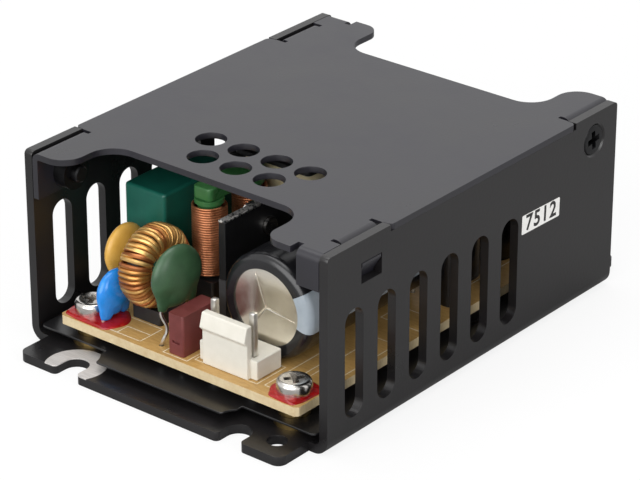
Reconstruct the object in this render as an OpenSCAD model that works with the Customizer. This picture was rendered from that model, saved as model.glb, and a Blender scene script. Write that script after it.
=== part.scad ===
// Open frame power supply: a folded chassis and cover around a stuffed circuit board.
// Millimetres. Origin at the middle of the footprint, on the mounting plane.
// +Z up, -Y towards the mains input end, +X towards the wall that carries the label.

/* [Chassis] */
// Width over both side walls
case_w = 62.5; // [59.5:0.5:70]
// Length of the side walls
wall_l = 76; // [74:0.5:84]
// Height over the cover
case_h = 34; // [33:0.5:42]
// Length over both mounting tongues
overall_l = 90; // [87:0.5:100]
// Sheet thickness of the chassis
chassis_t = 1.6; // [1.2:0.1:2.2]
// Inside radius of the chassis bends
chassis_bend_r = 1; // [0.5:0.1:2]
// Width of the mounting tongues
tongue_w = 55.2; // [48:0.2:55.6]
// Corner radius of the mounting tongues
tongue_corner_r = 1.6; // [0.5:0.1:3]
// Corner radius at the top ends of the side walls
wall_corner_r = 0.8; // [0.2:0.1:1.2]

/* [Wall vents] */
// Slots in each side wall
vent_count = 6; // [2:1:7]
// Spacing of the slots
vent_pitch = 8; // [6:0.25:10]
// Width of a slot
vent_w = 4.5; // [3:0.1:5.5]
// Length of a slot
vent_l = 18.75; // [12:0.25:20]
// Height of the slots' lower ends above the mounting plane
vent_base = 4.5; // [4:0.1:7]
// Distance from the wall's front end to the first slot's middle
vent_inset = 6.5; // [5:0.1:8]

/* [Mounting] */
// Width of the open mounting notches
notch_w = 4.5; // [3.2:0.1:5.5]
// Spacing of the notches across the chassis
notch_pitch_x = 34.4; // [28:0.2:40]
// Spacing of the notches' round ends along the chassis
notch_pitch_y = 85; // [82:0.5:90]
// Diameter of the tapped earth hole
earth_hole_d = 3.3; // [2.5:0.1:4]
// Distance of the earth hole from the middle line
earth_hole_x = 23.6; // [22:0.2:25]
// Distance of the earth hole from the tongue's end
earth_hole_inset = 4.2; // [3:0.1:5]

/* [Cover] */
// Sheet thickness of the cover
cover_t = 1.1; // [0.8:0.1:1.6]
// Inside radius of the cover's bends
cover_bend_r = 0.3; // [0.2:0.1:1]
// Gap between the cover's flanges and the walls
cover_gap = 0.1; // [0.05:0.05:0.2]
// Depth of the cut-outs over the connectors
mouth_depth = 10.4; // [6:0.2:12]
// Width of the cover left beside each cut-out on the screwed side
near_land = 7.4; // [5.4:0.1:12]
// Width of the cover left beside each cut-out on the hooked side
far_land = 11; // [9.6:0.1:16]
// Radius of the cut-outs' inner corners
mouth_fillet_r = 4.6; // [2:0.2:6]
// Corner radius where the cover spreads over the walls
rest_corner_r = 1; // [0.2:0.1:1.4]
// Corner radius of the lobe on the screwed side
near_lobe_r = 4; // [1:0.2:5]
// Corner radius of the lobe on the hooked side
far_lobe_r = 3; // [1:0.2:4]
// Depth of the side flanges below the top
flange_drop = 8.1; // [7.6:0.1:10]
// Length of the screwed flanges
screw_flange_l = 11; // [9:0.2:14]
// Length of the hooked flanges
hook_flange_l = 8.5; // [7:0.1:11]
// Distance of the hooked flange's relief slot from the cover's end
hook_inset = 5.2; // [4:0.1:7]
// Width of the relief slots
relief_w = 0.8; // [0.5:0.1:1.2]
// Depth of the relief slots beyond the bend
relief_l = 0.6; // [0.3:0.1:1.5]
// Width of the tab folded down at the cover's end
end_tab_w = 4.4; // [3:0.1:4.6]
// Depth of the end tab below the top
end_tab_drop = 6.1; // [5:0.1:8]
// Width of the relief beside the end tab
tab_relief_w = 1.1; // [0.6:0.1:1.5]
// Diameter of the cover's vent holes
cover_hole_d = 5.2; // [3:0.1:5.8]
// Spacing of the vent holes
cover_hole_pitch = 6.9; // [6.2:0.1:8]
// Holes in the longer row
cover_hole_count = 4; // [2:1:4]
// First hole of the longer row, from the middle line
cover_hole_x = -10.8; // [-14:0.2:-6]
// Distance of the longer row from the cover's end
cover_hole_inset = 22; // [20:0.2:26]

/* [Cover fixings] */
// Diameter of the countersunk cover screws
cover_screw_d = 3; // [2.5:0.1:3.2]
// Diameter of their heads
cover_screw_head_d = 5.9; // [5:0.1:6]
// Length of the cover screws
cover_screw_l = 6.4; // [5.6:0.2:8]
// Distance of the cover screws from the wall's end
cover_screw_inset = 6.4; // [5.5:0.1:7]
// Distance of the cover screws below the top
cover_screw_drop = 4.85; // [4.6:0.05:5]
// Diameter of the clinch nuts
clinch_nut_d = 5.8; // [5:0.1:5.8]
// Height of the clinch nuts
clinch_nut_h = 2.4; // [1.5:0.1:3]
// Length of the wall holes for the cover's hooks
hook_hole_l = 5; // [4:0.1:6]
// Height of the wall holes for the hooks
hook_hole_h = 3.5; // [3:0.1:4]
// Depth of those holes' upper edge below the top
hook_hole_drop = 3.8; // [3.4:0.1:4.2]
// Shift of those holes from the middle of the hooked flange
hook_hole_shift = 0.4; // [0:0.1:0.5]
// Reach of the hooks out of the flange
hook_reach = 1.7; // [1:0.1:2]

/* [Label] */
// Length of the bare side label
label_l = 10.5; // [6:0.1:16]
// Height of the side label
label_h = 3.7; // [2:0.1:6]
// Thickness of the side label
label_t = 0.1; // [0.05:0.05:0.2]
// Middle of the label, from the middle of the wall
label_y = 16.9; // [-10:0.1:20]
// Height of the label's middle
label_z = 20.8; // [10:0.1:24]

/* [Board] */
// Width of the circuit board
board_w = 50; // [49.6:0.2:52]
// Length of the circuit board
board_l = 76.2; // [75:0.2:80]
// Thickness of the circuit board
board_t = 1.6; // [1:0.1:2]
// Sideways shift of the board from the middle line
board_shift = 0.3; // [0:0.1:0.6]
// Chamfer of the board's corners
board_chamfer = 0.6; // [0.2:0.1:1]
// Spacing of the board screws across
board_hole_x = 42.6; // [42:0.1:43.4]
// Spacing of the board screws along
board_hole_y = 68.4; // [68:0.1:69.4]
// Height of the standoffs under the board
standoff_h = 3.4; // [3:0.1:5]
// Diameter of the standoffs
standoff_d = 5.2; // [4.6:0.1:6]
// Diameter of the standoffs' shoulders
shoulder_d = 6.6; // [6.2:0.1:7.4]
// Height of the shoulders that carry the insulating sheet
shoulder_h = 1.4; // [1:0.1:1.5]
// Diameter of the standoffs' pressed shanks
shank_d = 4.4; // [4:0.1:5]
// Diameter of the board screws
board_screw_d = 3; // [2.5:0.1:3]
// Diameter of the board screws' pan heads
pan_head_d = 5.8; // [5:0.1:6.2]
// Height of the pan heads
pan_head_h = 2.6; // [1.8:0.1:2.8]
// Diameter of the varnish around each board screw
varnish_d = 9.6; // [7:0.2:10]
// Thickness of that varnish
varnish_t = 0.35; // [0.2:0.05:0.6]
// Thickness of the insulating sheet
sheet_t = 0.35; // [0.2:0.05:0.5]
// Length of the insulating sheet at the walls
sheet_l = 76.6; // [76:0.2:80]
// Reach of the sheet's tongue beyond that length
sheet_reach = 3.8; // [2:0.1:4]
// Radius of the sheet's scallops around the notches
scallop_r = 4; // [3:0.1:4.4]
// Gap between the sheet and the side walls
sheet_gap = 0.7; // [0.4:0.1:1]

/* [Connectors] */
// Spacing of the connector ways
way_pitch = 3.96; // [3.5:0.01:4.2]
// Side of the square connector pins
pin_w = 1.14; // [0.8:0.01:1.2]
// Height of the pins above the board
pin_h = 10.8; // [9.6:0.1:12]
// Depth of the connector bases
base_d = 6; // [5.4:0.1:6.2]
// Height of the connector bases
base_h = 3.4; // [2.8:0.1:4]
// Height of the connectors' locking walls
lock_h = 9.2; // [7.5:0.1:9.5]
// Thickness of the locking walls
lock_t = 1.3; // [1:0.1:1.5]
// Step between the locking wall and the base
lock_step = 0.85; // [0.6:0.05:1]
// Height of the locking lip
lip_h = 2.5; // [1.5:0.1:3]
// Reach of the locking lip
lip_reach = 0.7; // [0.4:0.1:0.9]
// Distance of the connector bases from the board's edge
header_inset = 2.8; // [2.7:0.1:3]
// Distance of the pins from the base's outer side
pin_inset = 1.6; // [1.5:0.1:2.4]
// Middle of the mains connector, from the board's middle line
ac_header_x = 8.7; // [8.2:0.1:8.9]
// Middle of the output connector, from the board's middle line
dc_header_x = -8.4; // [-8.5:0.1:-8.2]
// Ways of the output connector
dc_ways = 4; // [3:1:4]

/* [Mains side parts] */
// Fuse width, length and height
fuse_size = [3.2, 8.1, 7.2];
// Middle of the fuse, from the board's middle line and front edge
fuse_at = [-0.85, 5.3];
// Diameter of the small suppression capacitor
front_cap_d = 8; // [7:0.1:8]
// Middle of the small suppression capacitor
front_cap_at = [-17.1, 4.7];
// Diameter of the inrush thermistor
thermistor_d = 10.6; // [9:0.1:11]
// Middle of the inrush thermistor
thermistor_at = [-4.6, 5.9];
// Height of the thermistor's middle above the board
thermistor_z = 11.2; // [11:0.1:12]
// Turn of the thermistor from the board's long direction
thermistor_turn = -6; // [-10:1:0]
// Diameter of the varistor
varistor_d = 9.2; // [8:0.1:9.4]
// Middle of the varistor
varistor_at = [-21, 11.6];
// Height of the varistor's middle above the board
varistor_z = 8.6; // [7:0.1:10]
// Thickness of the coated discs
disc_t = 2.9; // [2:0.1:3]
// Diameter of the choke over its winding
choke_d = 13.4; // [12:0.1:14]
// Diameter of the hole inside the choke's winding
choke_hole_d = 6.6; // [6.4:0.1:7.4]
// Width of the choke over its winding
choke_w = 4.7; // [4:0.1:5]
// Wire of the choke
choke_wire_d = 0.5; // [0.4:0.05:0.5]
// Turns on the choke
choke_turns = 36; // [24:1:36]
// Middle of the choke
choke_at = [-13.1, 10.1];
// Height of the choke's middle above the board
choke_z = 8.4; // [7.6:0.1:9]
// Box capacitor width, length and height
x_cap_size = [8.8, 18, 17.8];
// Middle of the box capacitor
x_cap_at = [-20.8, 25.4];
// Middle of the line filter
filter_at = [-10.9, 26.2];
// Spacing of the line filter's two coils
filter_pitch = 10; // [7:0.1:10.4]
// Outer diameter of each coil
filter_coil_d = 6; // [5:0.1:6.2]
// Height of each coil
filter_coil_h = 12.8; // [9:0.1:14]
// Side of the line filter's square core legs
filter_leg = 2.2; // [1.8:0.1:2.4]
// Diameter of the main capacitor
bulk_d = 18; // [15:0.1:18.2]
// Length of the main capacitor
bulk_l = 31.5; // [25:0.5:32.5]
// Middle of the main capacitor, across the board
bulk_x = 10.8; // [10.4:0.1:11.4]
// Gap between the mains header and the main capacitor
bulk_clear = 0.65; // [0.4:0.05:1.2]
// Thickness of the primary heatsink
sink_t = 1.4; // [1:0.1:1.6]
// Side face of the primary heatsink, from the board's middle line
sink_x = -1.3; // [-1.5:0.1:-1]
// Distance of the primary heatsink from the board's front edge
sink_inset = 12.3; // [12:0.1:14]
// Length of the primary heatsink
sink_l = 17.6; // [16:0.1:18]
// Top of the primary heatsink above the board
sink_h = 19.6; // [18:0.1:20.4]

/* [Power parts] */
// Width, thickness and height of the flat three-legged packages
tab_package = [10, 4.4, 15];
// Bridge rectifier thickness, length and height
bridge_size = [3.6, 14, 11.5];
// Middle of the bridge rectifier
bridge_at = [-23, 42.4];
// Transformer core width, depth and height
core_size = [22.4, 6.5, 20.6];
// Thickness of the core's yokes and outer legs
core_web = 2.9; // [2.4:0.1:3.2]
// Depth of the transformer over its taped winding
winding_d = 17.5; // [14:0.5:18]
// Middle of the transformer, from the board's middle line and front edge
transformer_at = [-9.8, 44.5];
// Length of the rectifier heatsink
rear_sink_l = 12.4; // [11:0.1:12.6]
// Side face of the rectifier heatsink, from the board's middle line
rear_sink_x = -21.2; // [-22:0.1:-21]
// Distance of the rectifier heatsink from the board's rear edge
rear_sink_inset = 8.8; // [8.7:0.1:10]
// Diameter of the output capacitors
output_cap_d = 10; // [8:0.1:10.2]
// Height of the output capacitors
output_cap_h = 20; // [12:0.5:20.5]
// Middle of the output capacitors, across the board
output_cap_x = 14.7; // [14:0.1:15]
// Spacing of the output capacitors
output_cap_pitch = 11; // [10.6:0.1:12]
// Distance of the last output capacitor from the board's rear edge
output_cap_inset = 12.6; // [12.4:0.1:14]
// Diameter and height of the output choke
rod_choke = [8.2, 12.5];
// Middle of the output choke, from the board's rear edge
rod_choke_at = [6.2, 6.6];
// Diameter and height of the small supply capacitor
small_cap = [5, 11];
// Middle of the small supply capacitor, across the board
small_cap_x = 21.7;
// Gap between the main capacitor's rear and the small one
small_cap_clear = 0.65;
// Middle of the bridging capacitor
bridging_cap_at = [6.1, 50.1];
// Width, depth and height of an optocoupler
opto_size = [4.6, 6.5, 3.4];
// First optocoupler, from the middle line and the board's rear edge
opto_at = [-9, 17.5];
// Spacing of the optocouplers
opto_pitch = 7.6; // [7:0.1:8]
// Width, depth and height of the output trimmer
trimmer_size = [5.1, 4.8, 4.6];
// Middle of the trimmer, from the board's rear edge
trimmer_at = [13.2, 3.6];

/* [Leads] */
// Diameter of the wire leads
lead_d = 0.7; // [0.5:0.05:0.8]
// Length of the leads below the board
lead_tail = 0.9; // [0.5:0.1:1]
// Clearance around leads and pins in the board
lead_gap = 0.1; // [0.05:0.05:0.2]

/* [Hidden] */
$fn = 64;
eps = 0.01;
over = 1;
fit = 0.02;
seat = 0.05;

half_w = case_w / 2;
half_l = wall_l / 2;
wall_in = half_w - chassis_t;
floor_z = chassis_t;
plate_z = case_h - cover_t;
flange_x = wall_in - cover_gap;
fold_r = cover_bend_r + cover_t;
mouth_near = flange_x - near_land;
mouth_far = flange_x - far_land;
hook_zone = hook_inset + hook_flange_l + 2 * relief_w;
screw_zone = screw_flange_l + relief_w;
rest_front = -(half_l - hook_zone);
rest_rear = half_l - screw_zone;
cover_screw_y = half_l - cover_screw_inset;
cover_screw_z = case_h - cover_screw_drop;
hook_y = hook_hole_shift - (half_l - hook_inset - relief_w - hook_flange_l / 2);
hook_top = case_h - hook_hole_drop;

board_bottom = floor_z + standoff_h;
board_top = board_bottom + board_t;
board_front = -board_l / 2;
sheet_z = floor_z + shoulder_h;
tail_z = board_bottom - lead_tail;

// Places given from the board's middle line and its front or rear edge
function on_board(p) = [board_shift + p[0], board_front + p[1]];
function at_rear(p) = [board_shift + p[0], -board_front - p[1]];
// Two points a distance apart about a middle, turned in the plane of the board
function pair(c, gap, turn) = [for (s = [-1, 1])
    [c[0] - s * gap / 2 * sin(turn), c[1] + s * gap / 2 * cos(turn)]];
function row(c, n, step) = [for (i = [0 : n - 1]) [c[0] + (i - (n - 1) / 2) * step, c[1]]];
function row_y(c, n, step) = [for (i = [0 : n - 1]) [c[0], c[1] + (i - (n - 1) / 2) * step]];

fuse_c = on_board(fuse_at);
front_cap_c = on_board(front_cap_at);
disc_stand = 0.8;
front_cap_z = board_top + front_cap_d / 2 + disc_stand;
front_cap_gap = 5.6;
thermistor_c = on_board(thermistor_at);
thermistor_cz = board_top + thermistor_z;
thermistor_gap = 7;
varistor_c = on_board(varistor_at);
varistor_cz = board_top + varistor_z;
varistor_gap = 5;
bridging_d = 8;
bridging_gap = 5;
coat_l = 1.4;
socket = 1;
choke_c = on_board(choke_at);
choke_cz = board_top + choke_z;
x_cap_c = on_board(x_cap_at);
filter_c = on_board(filter_at);
bulk_z = board_top + bulk_d / 2;
sink_c = [board_shift + sink_x, board_front + sink_inset];
bridge_c = on_board(bridge_at);
transformer_c = on_board(transformer_at);
bridging_c = on_board(bridging_cap_at);
rear_sink_c = [board_shift + rear_sink_x, -board_front - rear_sink_inset];
rod_choke_c = at_rear(rod_choke_at);
trimmer_c = at_rear(trimmer_at);
opto_c = [for (i = [0, 1]) at_rear([opto_at[0] + i * opto_pitch, opto_at[1]])];
output_caps = [for (i = [0, 1]) at_rear([output_cap_x, output_cap_inset + i * output_cap_pitch])];
ac_c = on_board([ac_header_x, header_inset]);
bulk_c = [board_shift + bulk_x, ac_c[1] + base_d + bulk_clear];
small_cap_c = [board_shift + small_cap_x, bulk_c[1] + bulk_l + small_cap_clear + small_cap[0] / 2];
dc_c = at_rear([dc_header_x, header_inset]);
bridging_z = board_top + bridging_d / 2 + disc_stand;
chip_c = [bulk_c[0] - 4, bulk_c[1] + bulk_l / 2];

choke_base = [6.2, 6.4, 2.6];
choke_base_c = [choke_c[0] + 0.8, choke_c[1]];
filter_base = [2 * filter_leg + 2.4, filter_pitch + filter_coil_d + 0.6, 2.4];
filter_flange_t = 0.8;
filter_tube_d = filter_leg * sqrt(2) + 0.8;
filter_yoke = 1.8;
filter_z = board_top + 1.4;
filter_coil_z = filter_z + filter_yoke + filter_flange_t;
filter_top = filter_coil_z + filter_coil_h + filter_flange_t;
filter_tape_t = 0.9;
filter_wire_d = 0.5;
sleeve_t = 0.25;
sleeve_lip = 2.2;
can_d = bulk_d - 2 * sleeve_t;
can_l = bulk_l - 2 * sleeve_t;
can_edge_r = 1.2;
vent_mark_w = 0.3;
vent_mark_l = 5.8;
bulk_lead_y = bulk_c[1] + bulk_l + 1.6;
bulk_lead_gap = 7.5;
plate_gap = 3.9;
foot_h = 9.1;
foot_w = 1.2;
tab_t = 1.3;
tab_part = 0.41;
tab_hole_drop = 2.9;
leg_back = 2.6;
leg_pitch = 2.54;
package_z = board_top + 3;
tab_screw_z = package_z + tab_package[2] - tab_hole_drop;
transistor_y = sink_c[1] + sink_l / 2 + 2;
rectifier_y = rear_sink_c[1] - rear_sink_l / 2;
bridge_z = board_top + 2.5;
bridge_pitch = 3.8;
core_z = board_top + 1.6;
core_leg = 5.8;
bobbin_t = 0.8;
window_z = core_z + core_web;
window_h = core_size[2] - 2 * core_web;
bobbin_w = core_size[0] - 2 * core_web - 0.4;
rail_w = 4;
rail_y = winding_d / 2 - rail_w / 2;
pin_pitch = 4.2;
small_gap = 2;
output_gap = 5;
rod_d = 4.6;
rod_gap = 5;
rod_bare = 1;
opto_z = board_top + 0.6;
opto_row = 7.62;
trimmer_pitch = 2.5;

// Every lead: its places on the board and the height of its upper end
LEADS = concat(
    [[pair(fuse_c, 5, 0), board_top]],
    [[pair(front_cap_c, front_cap_gap, 0), disc_foot(front_cap_z, front_cap_d, front_cap_gap)]],
    [[pair(thermistor_c, thermistor_gap, thermistor_turn),
        disc_foot(thermistor_cz, thermistor_d, thermistor_gap)]],
    [[pair(varistor_c, varistor_gap, 0), disc_foot(varistor_cz, varistor_d, varistor_gap)]],
    [[pair(bridging_c, bridging_gap, 0), disc_foot(bridging_z, bridging_d, bridging_gap)]],
    [[pair(choke_base_c, choke_base[1] - 2, 0), board_top]],
    [[pair(x_cap_c, x_cap_size[1] - 3, 0), board_top]],
    [for (s = [-1, 1]) [pair([filter_c[0] + s * filter_leg, filter_c[1]],
        filter_base[1] - 2.4, 0), board_top]],
    [[row([bulk_c[0], bulk_lead_y], 2, bulk_lead_gap), bulk_z]],
    [[row_y([sink_c[0] - leg_back, transistor_y], 3, leg_pitch), package_z]],
    [[row_y([rear_sink_c[0] + leg_back, rectifier_y], 3, leg_pitch), package_z]],
    [[row_y(bridge_c, 4, bridge_pitch), bridge_z]],
    [for (s = [-1, 1]) [row([transformer_c[0], transformer_c[1] + s * rail_y], 4, pin_pitch),
        board_top]],
    [[pair(small_cap_c, small_gap, 0), board_top]],
    [for (c = output_caps) [pair(c, output_gap, 0), board_top]],
    [[pair(rod_choke_c, rod_gap, 0), board_top]],
    [for (c = opto_c, s = [-1, 1]) [row([c[0], c[1] + s * opto_row / 2], 2, leg_pitch),
        opto_z + opto_size[2] / 2]],
    [[row(trimmer_c, 3, trimmer_pitch / 2), board_top]],
    [[feet_of([sink_c[0] + sink_t / 2, sink_c[1]], sink_l), board_top]],
    [[feet_of([rear_sink_c[0] - sink_t / 2, rear_sink_c[1] - rear_sink_l], rear_sink_l), board_top]]
);
PINS = concat(
    [for (s = [-1, 1]) [ac_c[0] + s * way_pitch, ac_c[1] + pin_inset]],
    [for (p = row([dc_c[0], dc_c[1] - pin_inset], dc_ways, way_pitch)) p]
);
function disc_foot(z, d, gap) = z - sqrt(d * d - gap * gap) / 2 + socket;
function feet_of(c, l) = [for (y = [foot_w / 2, l - foot_w / 2]) [c[0], c[1] + y]];

module wires(points, top) {
    for (p = points)
        translate([p[0], p[1], tail_z])
            cylinder(d = lead_d, h = top - tail_z);
}

module rounded_rect(w, l, r) {
    square([w - 2 * r, l], center = true);
    square([w, l - 2 * r], center = true);
    for (x = [-1, 1], y = [-1, 1])
        translate([x * (w / 2 - r), y * (l / 2 - r)])
            circle(r = r);
}

module rounded_block(size, r) {
    linear_extrude(size[2])
        rounded_rect(size[0], size[1], r);
}

// What a rounded corner leaves of its square, at the origin and towards +X +Y
module corner_waste(r) {
    difference() {
        square(r + over);
        circle(r = r);
    }
}

module half_turns() {
    for (a = [0, 180])
        rotate([0, 0, a])
            children();
}

module cross_recess(w, l, depth) {
    for (a = [0, 90])
        rotate([0, 0, a])
            translate([0, 0, -depth])
                linear_extrude(depth + over)
                    square([l, w], center = true);
}

module pan_head() {
    dome = pan_head_d * 0.72;
    difference() {
        intersection() {
            cylinder(d = pan_head_d, h = pan_head_h);
            translate([0, 0, pan_head_h - dome])
                sphere(r = dome);
        }
        translate([0, 0, pan_head_h])
            cross_recess(pan_head_d * 0.14, pan_head_d * 0.58, pan_head_h * 0.6);
    }
}

// ---- sheet metal ----

module u_section() {
    r = chassis_bend_r + chassis_t;
    difference() {
        union() {
            translate([-half_w, r])
                square([case_w, case_h - r]);
            translate([-half_w + r, 0])
                square([case_w - 2 * r, r]);
            for (s = [-1, 1])
                translate([s * (half_w - r), r])
                    circle(r = r);
        }
        translate([-wall_in, r])
            square([2 * wall_in, case_h]);
        translate([-wall_in + chassis_bend_r, chassis_t])
            square([2 * (wall_in - chassis_bend_r), case_h]);
        for (s = [-1, 1])
            translate([s * (wall_in - chassis_bend_r), r])
                circle(r = chassis_bend_r);
    }
}

module notch() {
    mouth_r = notch_w * 0.2;
    translate([-notch_w / 2, 0])
        square([notch_w, overall_l]);
    circle(d = notch_w);
    for (s = [0, 1])
        mirror([s, 0])
            translate([notch_w / 2 + mouth_r, (overall_l - notch_pitch_y) / 2 - mouth_r])
                mirror([1, 0])
                    corner_waste(mouth_r);
}

module floor_outline() {
    difference() {
        rounded_rect(tongue_w, overall_l, tongue_corner_r);
        for (s = [-1, 1])
            half_turns()
                translate([s * notch_pitch_x / 2, notch_pitch_y / 2])
                    notch();
        translate([earth_hole_x, -overall_l / 2 + earth_hole_inset])
            circle(d = earth_hole_d);
    }
}

module vent_slots() {
    for (i = [0 : vent_count - 1])
        translate([-half_w - over, -half_l + vent_inset + i * vent_pitch, vent_base + vent_l / 2])
            rotate([90, 0, 90])
                linear_extrude(case_w + 2 * over) {
                    square([vent_w, vent_l - vent_w], center = true);
                    for (s = [-1, 1])
                        translate([0, s * (vent_l - vent_w) / 2])
                            circle(d = vent_w);
                }
}

module wall_end_waste() {
    for (s = [0, 1])
        mirror([0, s, 0])
            translate([-half_w - over, half_l - wall_corner_r, case_h - wall_corner_r])
                rotate([90, 0, 90])
                    linear_extrude(case_w + 2 * over)
                        corner_waste(wall_corner_r);
}

module cover_screw_shape(gap, length) {
    translate([half_w, cover_screw_y, cover_screw_z])
        rotate([0, -90, 0]) {
            cylinder(d = cover_screw_d + 2 * gap, h = length);
            cylinder(d1 = cover_screw_head_d + 2 * gap, d2 = cover_screw_d + 2 * gap,
                h = (cover_screw_head_d - cover_screw_d) / 2);
        }
}

module chassis() {
    color("#4a4849")
    difference() {
        union() {
            translate([0, half_l, 0])
                rotate([90, 0, 0])
                    linear_extrude(wall_l)
                        u_section();
            linear_extrude(chassis_t)
                floor_outline();
        }
        half_turns() {
            translate([wall_in - over, rest_front, plate_z])
                cube([chassis_t + 2 * over, rest_rear - rest_front, case_h]);
            translate([wall_in - over, hook_y - hook_hole_l / 2, hook_top - hook_hole_h])
                cube([chassis_t + 2 * over, hook_hole_l, hook_hole_h]);
            cover_screw_shape(fit, chassis_t + over);
        }
        vent_slots();
        wall_end_waste();
        for (p = board_holes())
            translate([p[0], p[1], -over])
                cylinder(d = shank_d, h = chassis_t + 2 * over);
    }
}

// One fold of the cover: the outer corner at the origin, the sheet coming from -X
module fold_section(drop) {
    translate([-fold_r, -fold_r])
        intersection() {
            difference() {
                circle(r = fold_r);
                circle(r = cover_bend_r);
            }
            square(fold_r);
        }
    translate([-cover_t, -drop])
        square([cover_t, drop - fold_r]);
}

module side_fold(y0, length, drop) {
    translate([flange_x, y0 + length, case_h])
        rotate([90, 0, 0])
            linear_extrude(length)
                fold_section(drop);
}

module mouth() {
    y0 = -half_l;
    r = mouth_fillet_r;
    translate([-mouth_near, y0 - over])
        square([mouth_near + mouth_far, mouth_depth - r + over]);
    translate([-mouth_near + r, y0 - over])
        square([mouth_near + mouth_far - 2 * r, mouth_depth + over]);
    for (x = [-mouth_near + r, mouth_far - r])
        translate([x, y0 + mouth_depth - r])
            circle(r = r);
    translate([-mouth_near - near_lobe_r, y0 + near_lobe_r])
        mirror([0, 1])
            corner_waste(near_lobe_r);
    translate([mouth_far + far_lobe_r, y0 + far_lobe_r])
        rotate(180)
            corner_waste(far_lobe_r);
}

// A rectangle from the middle line whose two outer corners are rounded
module rounded_corner_rest(w, l, r) {
    square([w - r, l]);
    translate([0, r])
        square([w, l - 2 * r]);
    for (y = [r, l - r])
        translate([w - r, y])
            circle(r = r);
}

module top_outline() {
    square([2 * flange_x, wall_l], center = true);
    half_turns()
        translate([0, rest_front + cover_gap])
            rounded_corner_rest(half_w, rest_rear - rest_front - 2 * cover_gap, rest_corner_r);
}

module top_waste() {
    tab_x = flange_x - end_tab_w;
    mouth();
    // room for the folds, and the reliefs beside them
    translate([flange_x - fold_r, -half_l + hook_inset])
        square([fold_r + over, hook_zone - hook_inset]);
    translate([flange_x - fold_r, rest_rear])
        square([fold_r + over, screw_zone + over]);
    for (y = [-half_l + hook_inset, rest_front - relief_w, rest_rear])
        translate([flange_x - fold_r - relief_l, y])
            square([fold_r, relief_w]);
    translate([tab_x, -half_l - over])
        square([end_tab_w + over, fold_r + over]);
    translate([tab_x - tab_relief_w, -half_l - over])
        square([tab_relief_w, fold_r + relief_l + over]);
}

// Vent holes at the mains end only
module vent_holes() {
    for (i = [0 : cover_hole_count - 1])
        translate([cover_hole_x + i * cover_hole_pitch, -half_l + cover_hole_inset])
            circle(d = cover_hole_d);
    for (i = [0 : cover_hole_count - 2])
        translate([cover_hole_x + (i + 0.5) * cover_hole_pitch,
            -half_l + cover_hole_inset - cover_hole_pitch * sin(60)])
            circle(d = cover_hole_d);
}

module hook() {
    z1 = hook_top - cover_gap;
    z0 = hook_top - hook_hole_h + cover_gap;
    l = hook_hole_l - 4 * cover_gap;
    translate([flange_x, hook_y + l / 2, 0])
        rotate([90, 0, 0])
            linear_extrude(l)
                polygon([[-cover_t / 2, z0], [0, z0], [hook_reach, z1 - cover_t / 2],
                    [hook_reach, z1], [-cover_t / 2, z1]]);
}

module cover() {
    color("#6f6f75")
    difference() {
        union() {
            translate([0, 0, plate_z])
                linear_extrude(cover_t)
                    difference() {
                        top_outline();
                        half_turns()
                            top_waste();
                        vent_holes();
                    }
            half_turns() {
                side_fold(-half_l + hook_inset + relief_w, hook_flange_l, flange_drop);
                side_fold(half_l - screw_flange_l, screw_flange_l, flange_drop);
                translate([flange_x - end_tab_w, -half_l, case_h])
                    rotate([0, 0, -90])
                        rotate([90, 0, 0])
                            mirror([0, 0, 1])
                                linear_extrude(end_tab_w)
                                    fold_section(end_tab_drop);
                hook();
            }
        }
        half_turns()
            translate([flange_x - cover_t - over, cover_screw_y, cover_screw_z])
                rotate([0, 90, 0])
                    cylinder(d = clinch_shank_d(), h = cover_t + 2 * over);
    }
}

function clinch_shank_d() = clinch_nut_d * 0.72;
function board_holes() = [for (x = [-1, 1], y = [-1, 1])
    [board_shift + x * board_hole_x / 2, y * board_hole_y / 2]];

module clinch_nuts() {
    color("#b9b7b0")
    half_turns()
        difference() {
            translate([flange_x - cover_t - clinch_nut_h, cover_screw_y, cover_screw_z])
                rotate([0, 90, 0]) {
                    cylinder(d = clinch_nut_d, h = clinch_nut_h);
                    cylinder(d = clinch_shank_d(), h = clinch_nut_h + cover_t);
                }
            cover_screw_shape(fit, case_w / 2);
        }
}

module cover_screws() {
    color("#17171a")
    half_turns()
        difference() {
            cover_screw_shape(0, cover_screw_l);
            translate([half_w, cover_screw_y, cover_screw_z])
                rotate([0, 90, 0])
                    cross_recess(cover_screw_head_d * 0.13, cover_screw_head_d * 0.6, 1.2);
        }
}

module side_label() {
    color("#f2f0ea")
    translate([half_w, label_y - label_l / 2, label_z - label_h / 2])
        cube([label_t, label_l, label_h]);
}

// ---- board and what carries it ----

module standoffs() {
    color("#c9c2a8")
    for (p = board_holes())
        translate([p[0], p[1], 0])
            difference() {
                union() {
                    cylinder(d = shank_d, h = floor_z + eps);
                    translate([0, 0, floor_z])
                        cylinder(d = shoulder_d, h = shoulder_h);
                    translate([0, 0, floor_z])
                        cylinder(d = standoff_d, h = standoff_h);
                }
                translate([0, 0, -over])
                    cylinder(d = board_screw_d, h = board_bottom + 2 * over);
            }
}

module insulating_sheet() {
    tongue = notch_pitch_x - notch_w - 1;
    color("#1b1b1d")
    translate([0, 0, sheet_z])
        linear_extrude(sheet_t)
            difference() {
                union() {
                    rounded_rect(2 * (wall_in - sheet_gap), sheet_l, 1);
                    rounded_rect(tongue, sheet_l + 2 * sheet_reach, 2);
                }
                for (x = [-1, 1], y = [-1, 1])
                    translate([x * notch_pitch_x / 2, y * notch_pitch_y / 2])
                        circle(r = scallop_r);
                for (p = board_holes())
                    translate(p)
                        circle(d = standoff_d + 2 * fit);
            }
}

module board_outline() {
    x = board_w / 2;
    y = board_l / 2;
    c = board_chamfer;
    translate([board_shift, 0])
        polygon([[-x + c, -y], [x - c, -y], [x, -y + c], [x, y - c],
            [x - c, y], [-x + c, y], [-x, y - c], [-x, -y + c]]);
}

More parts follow.
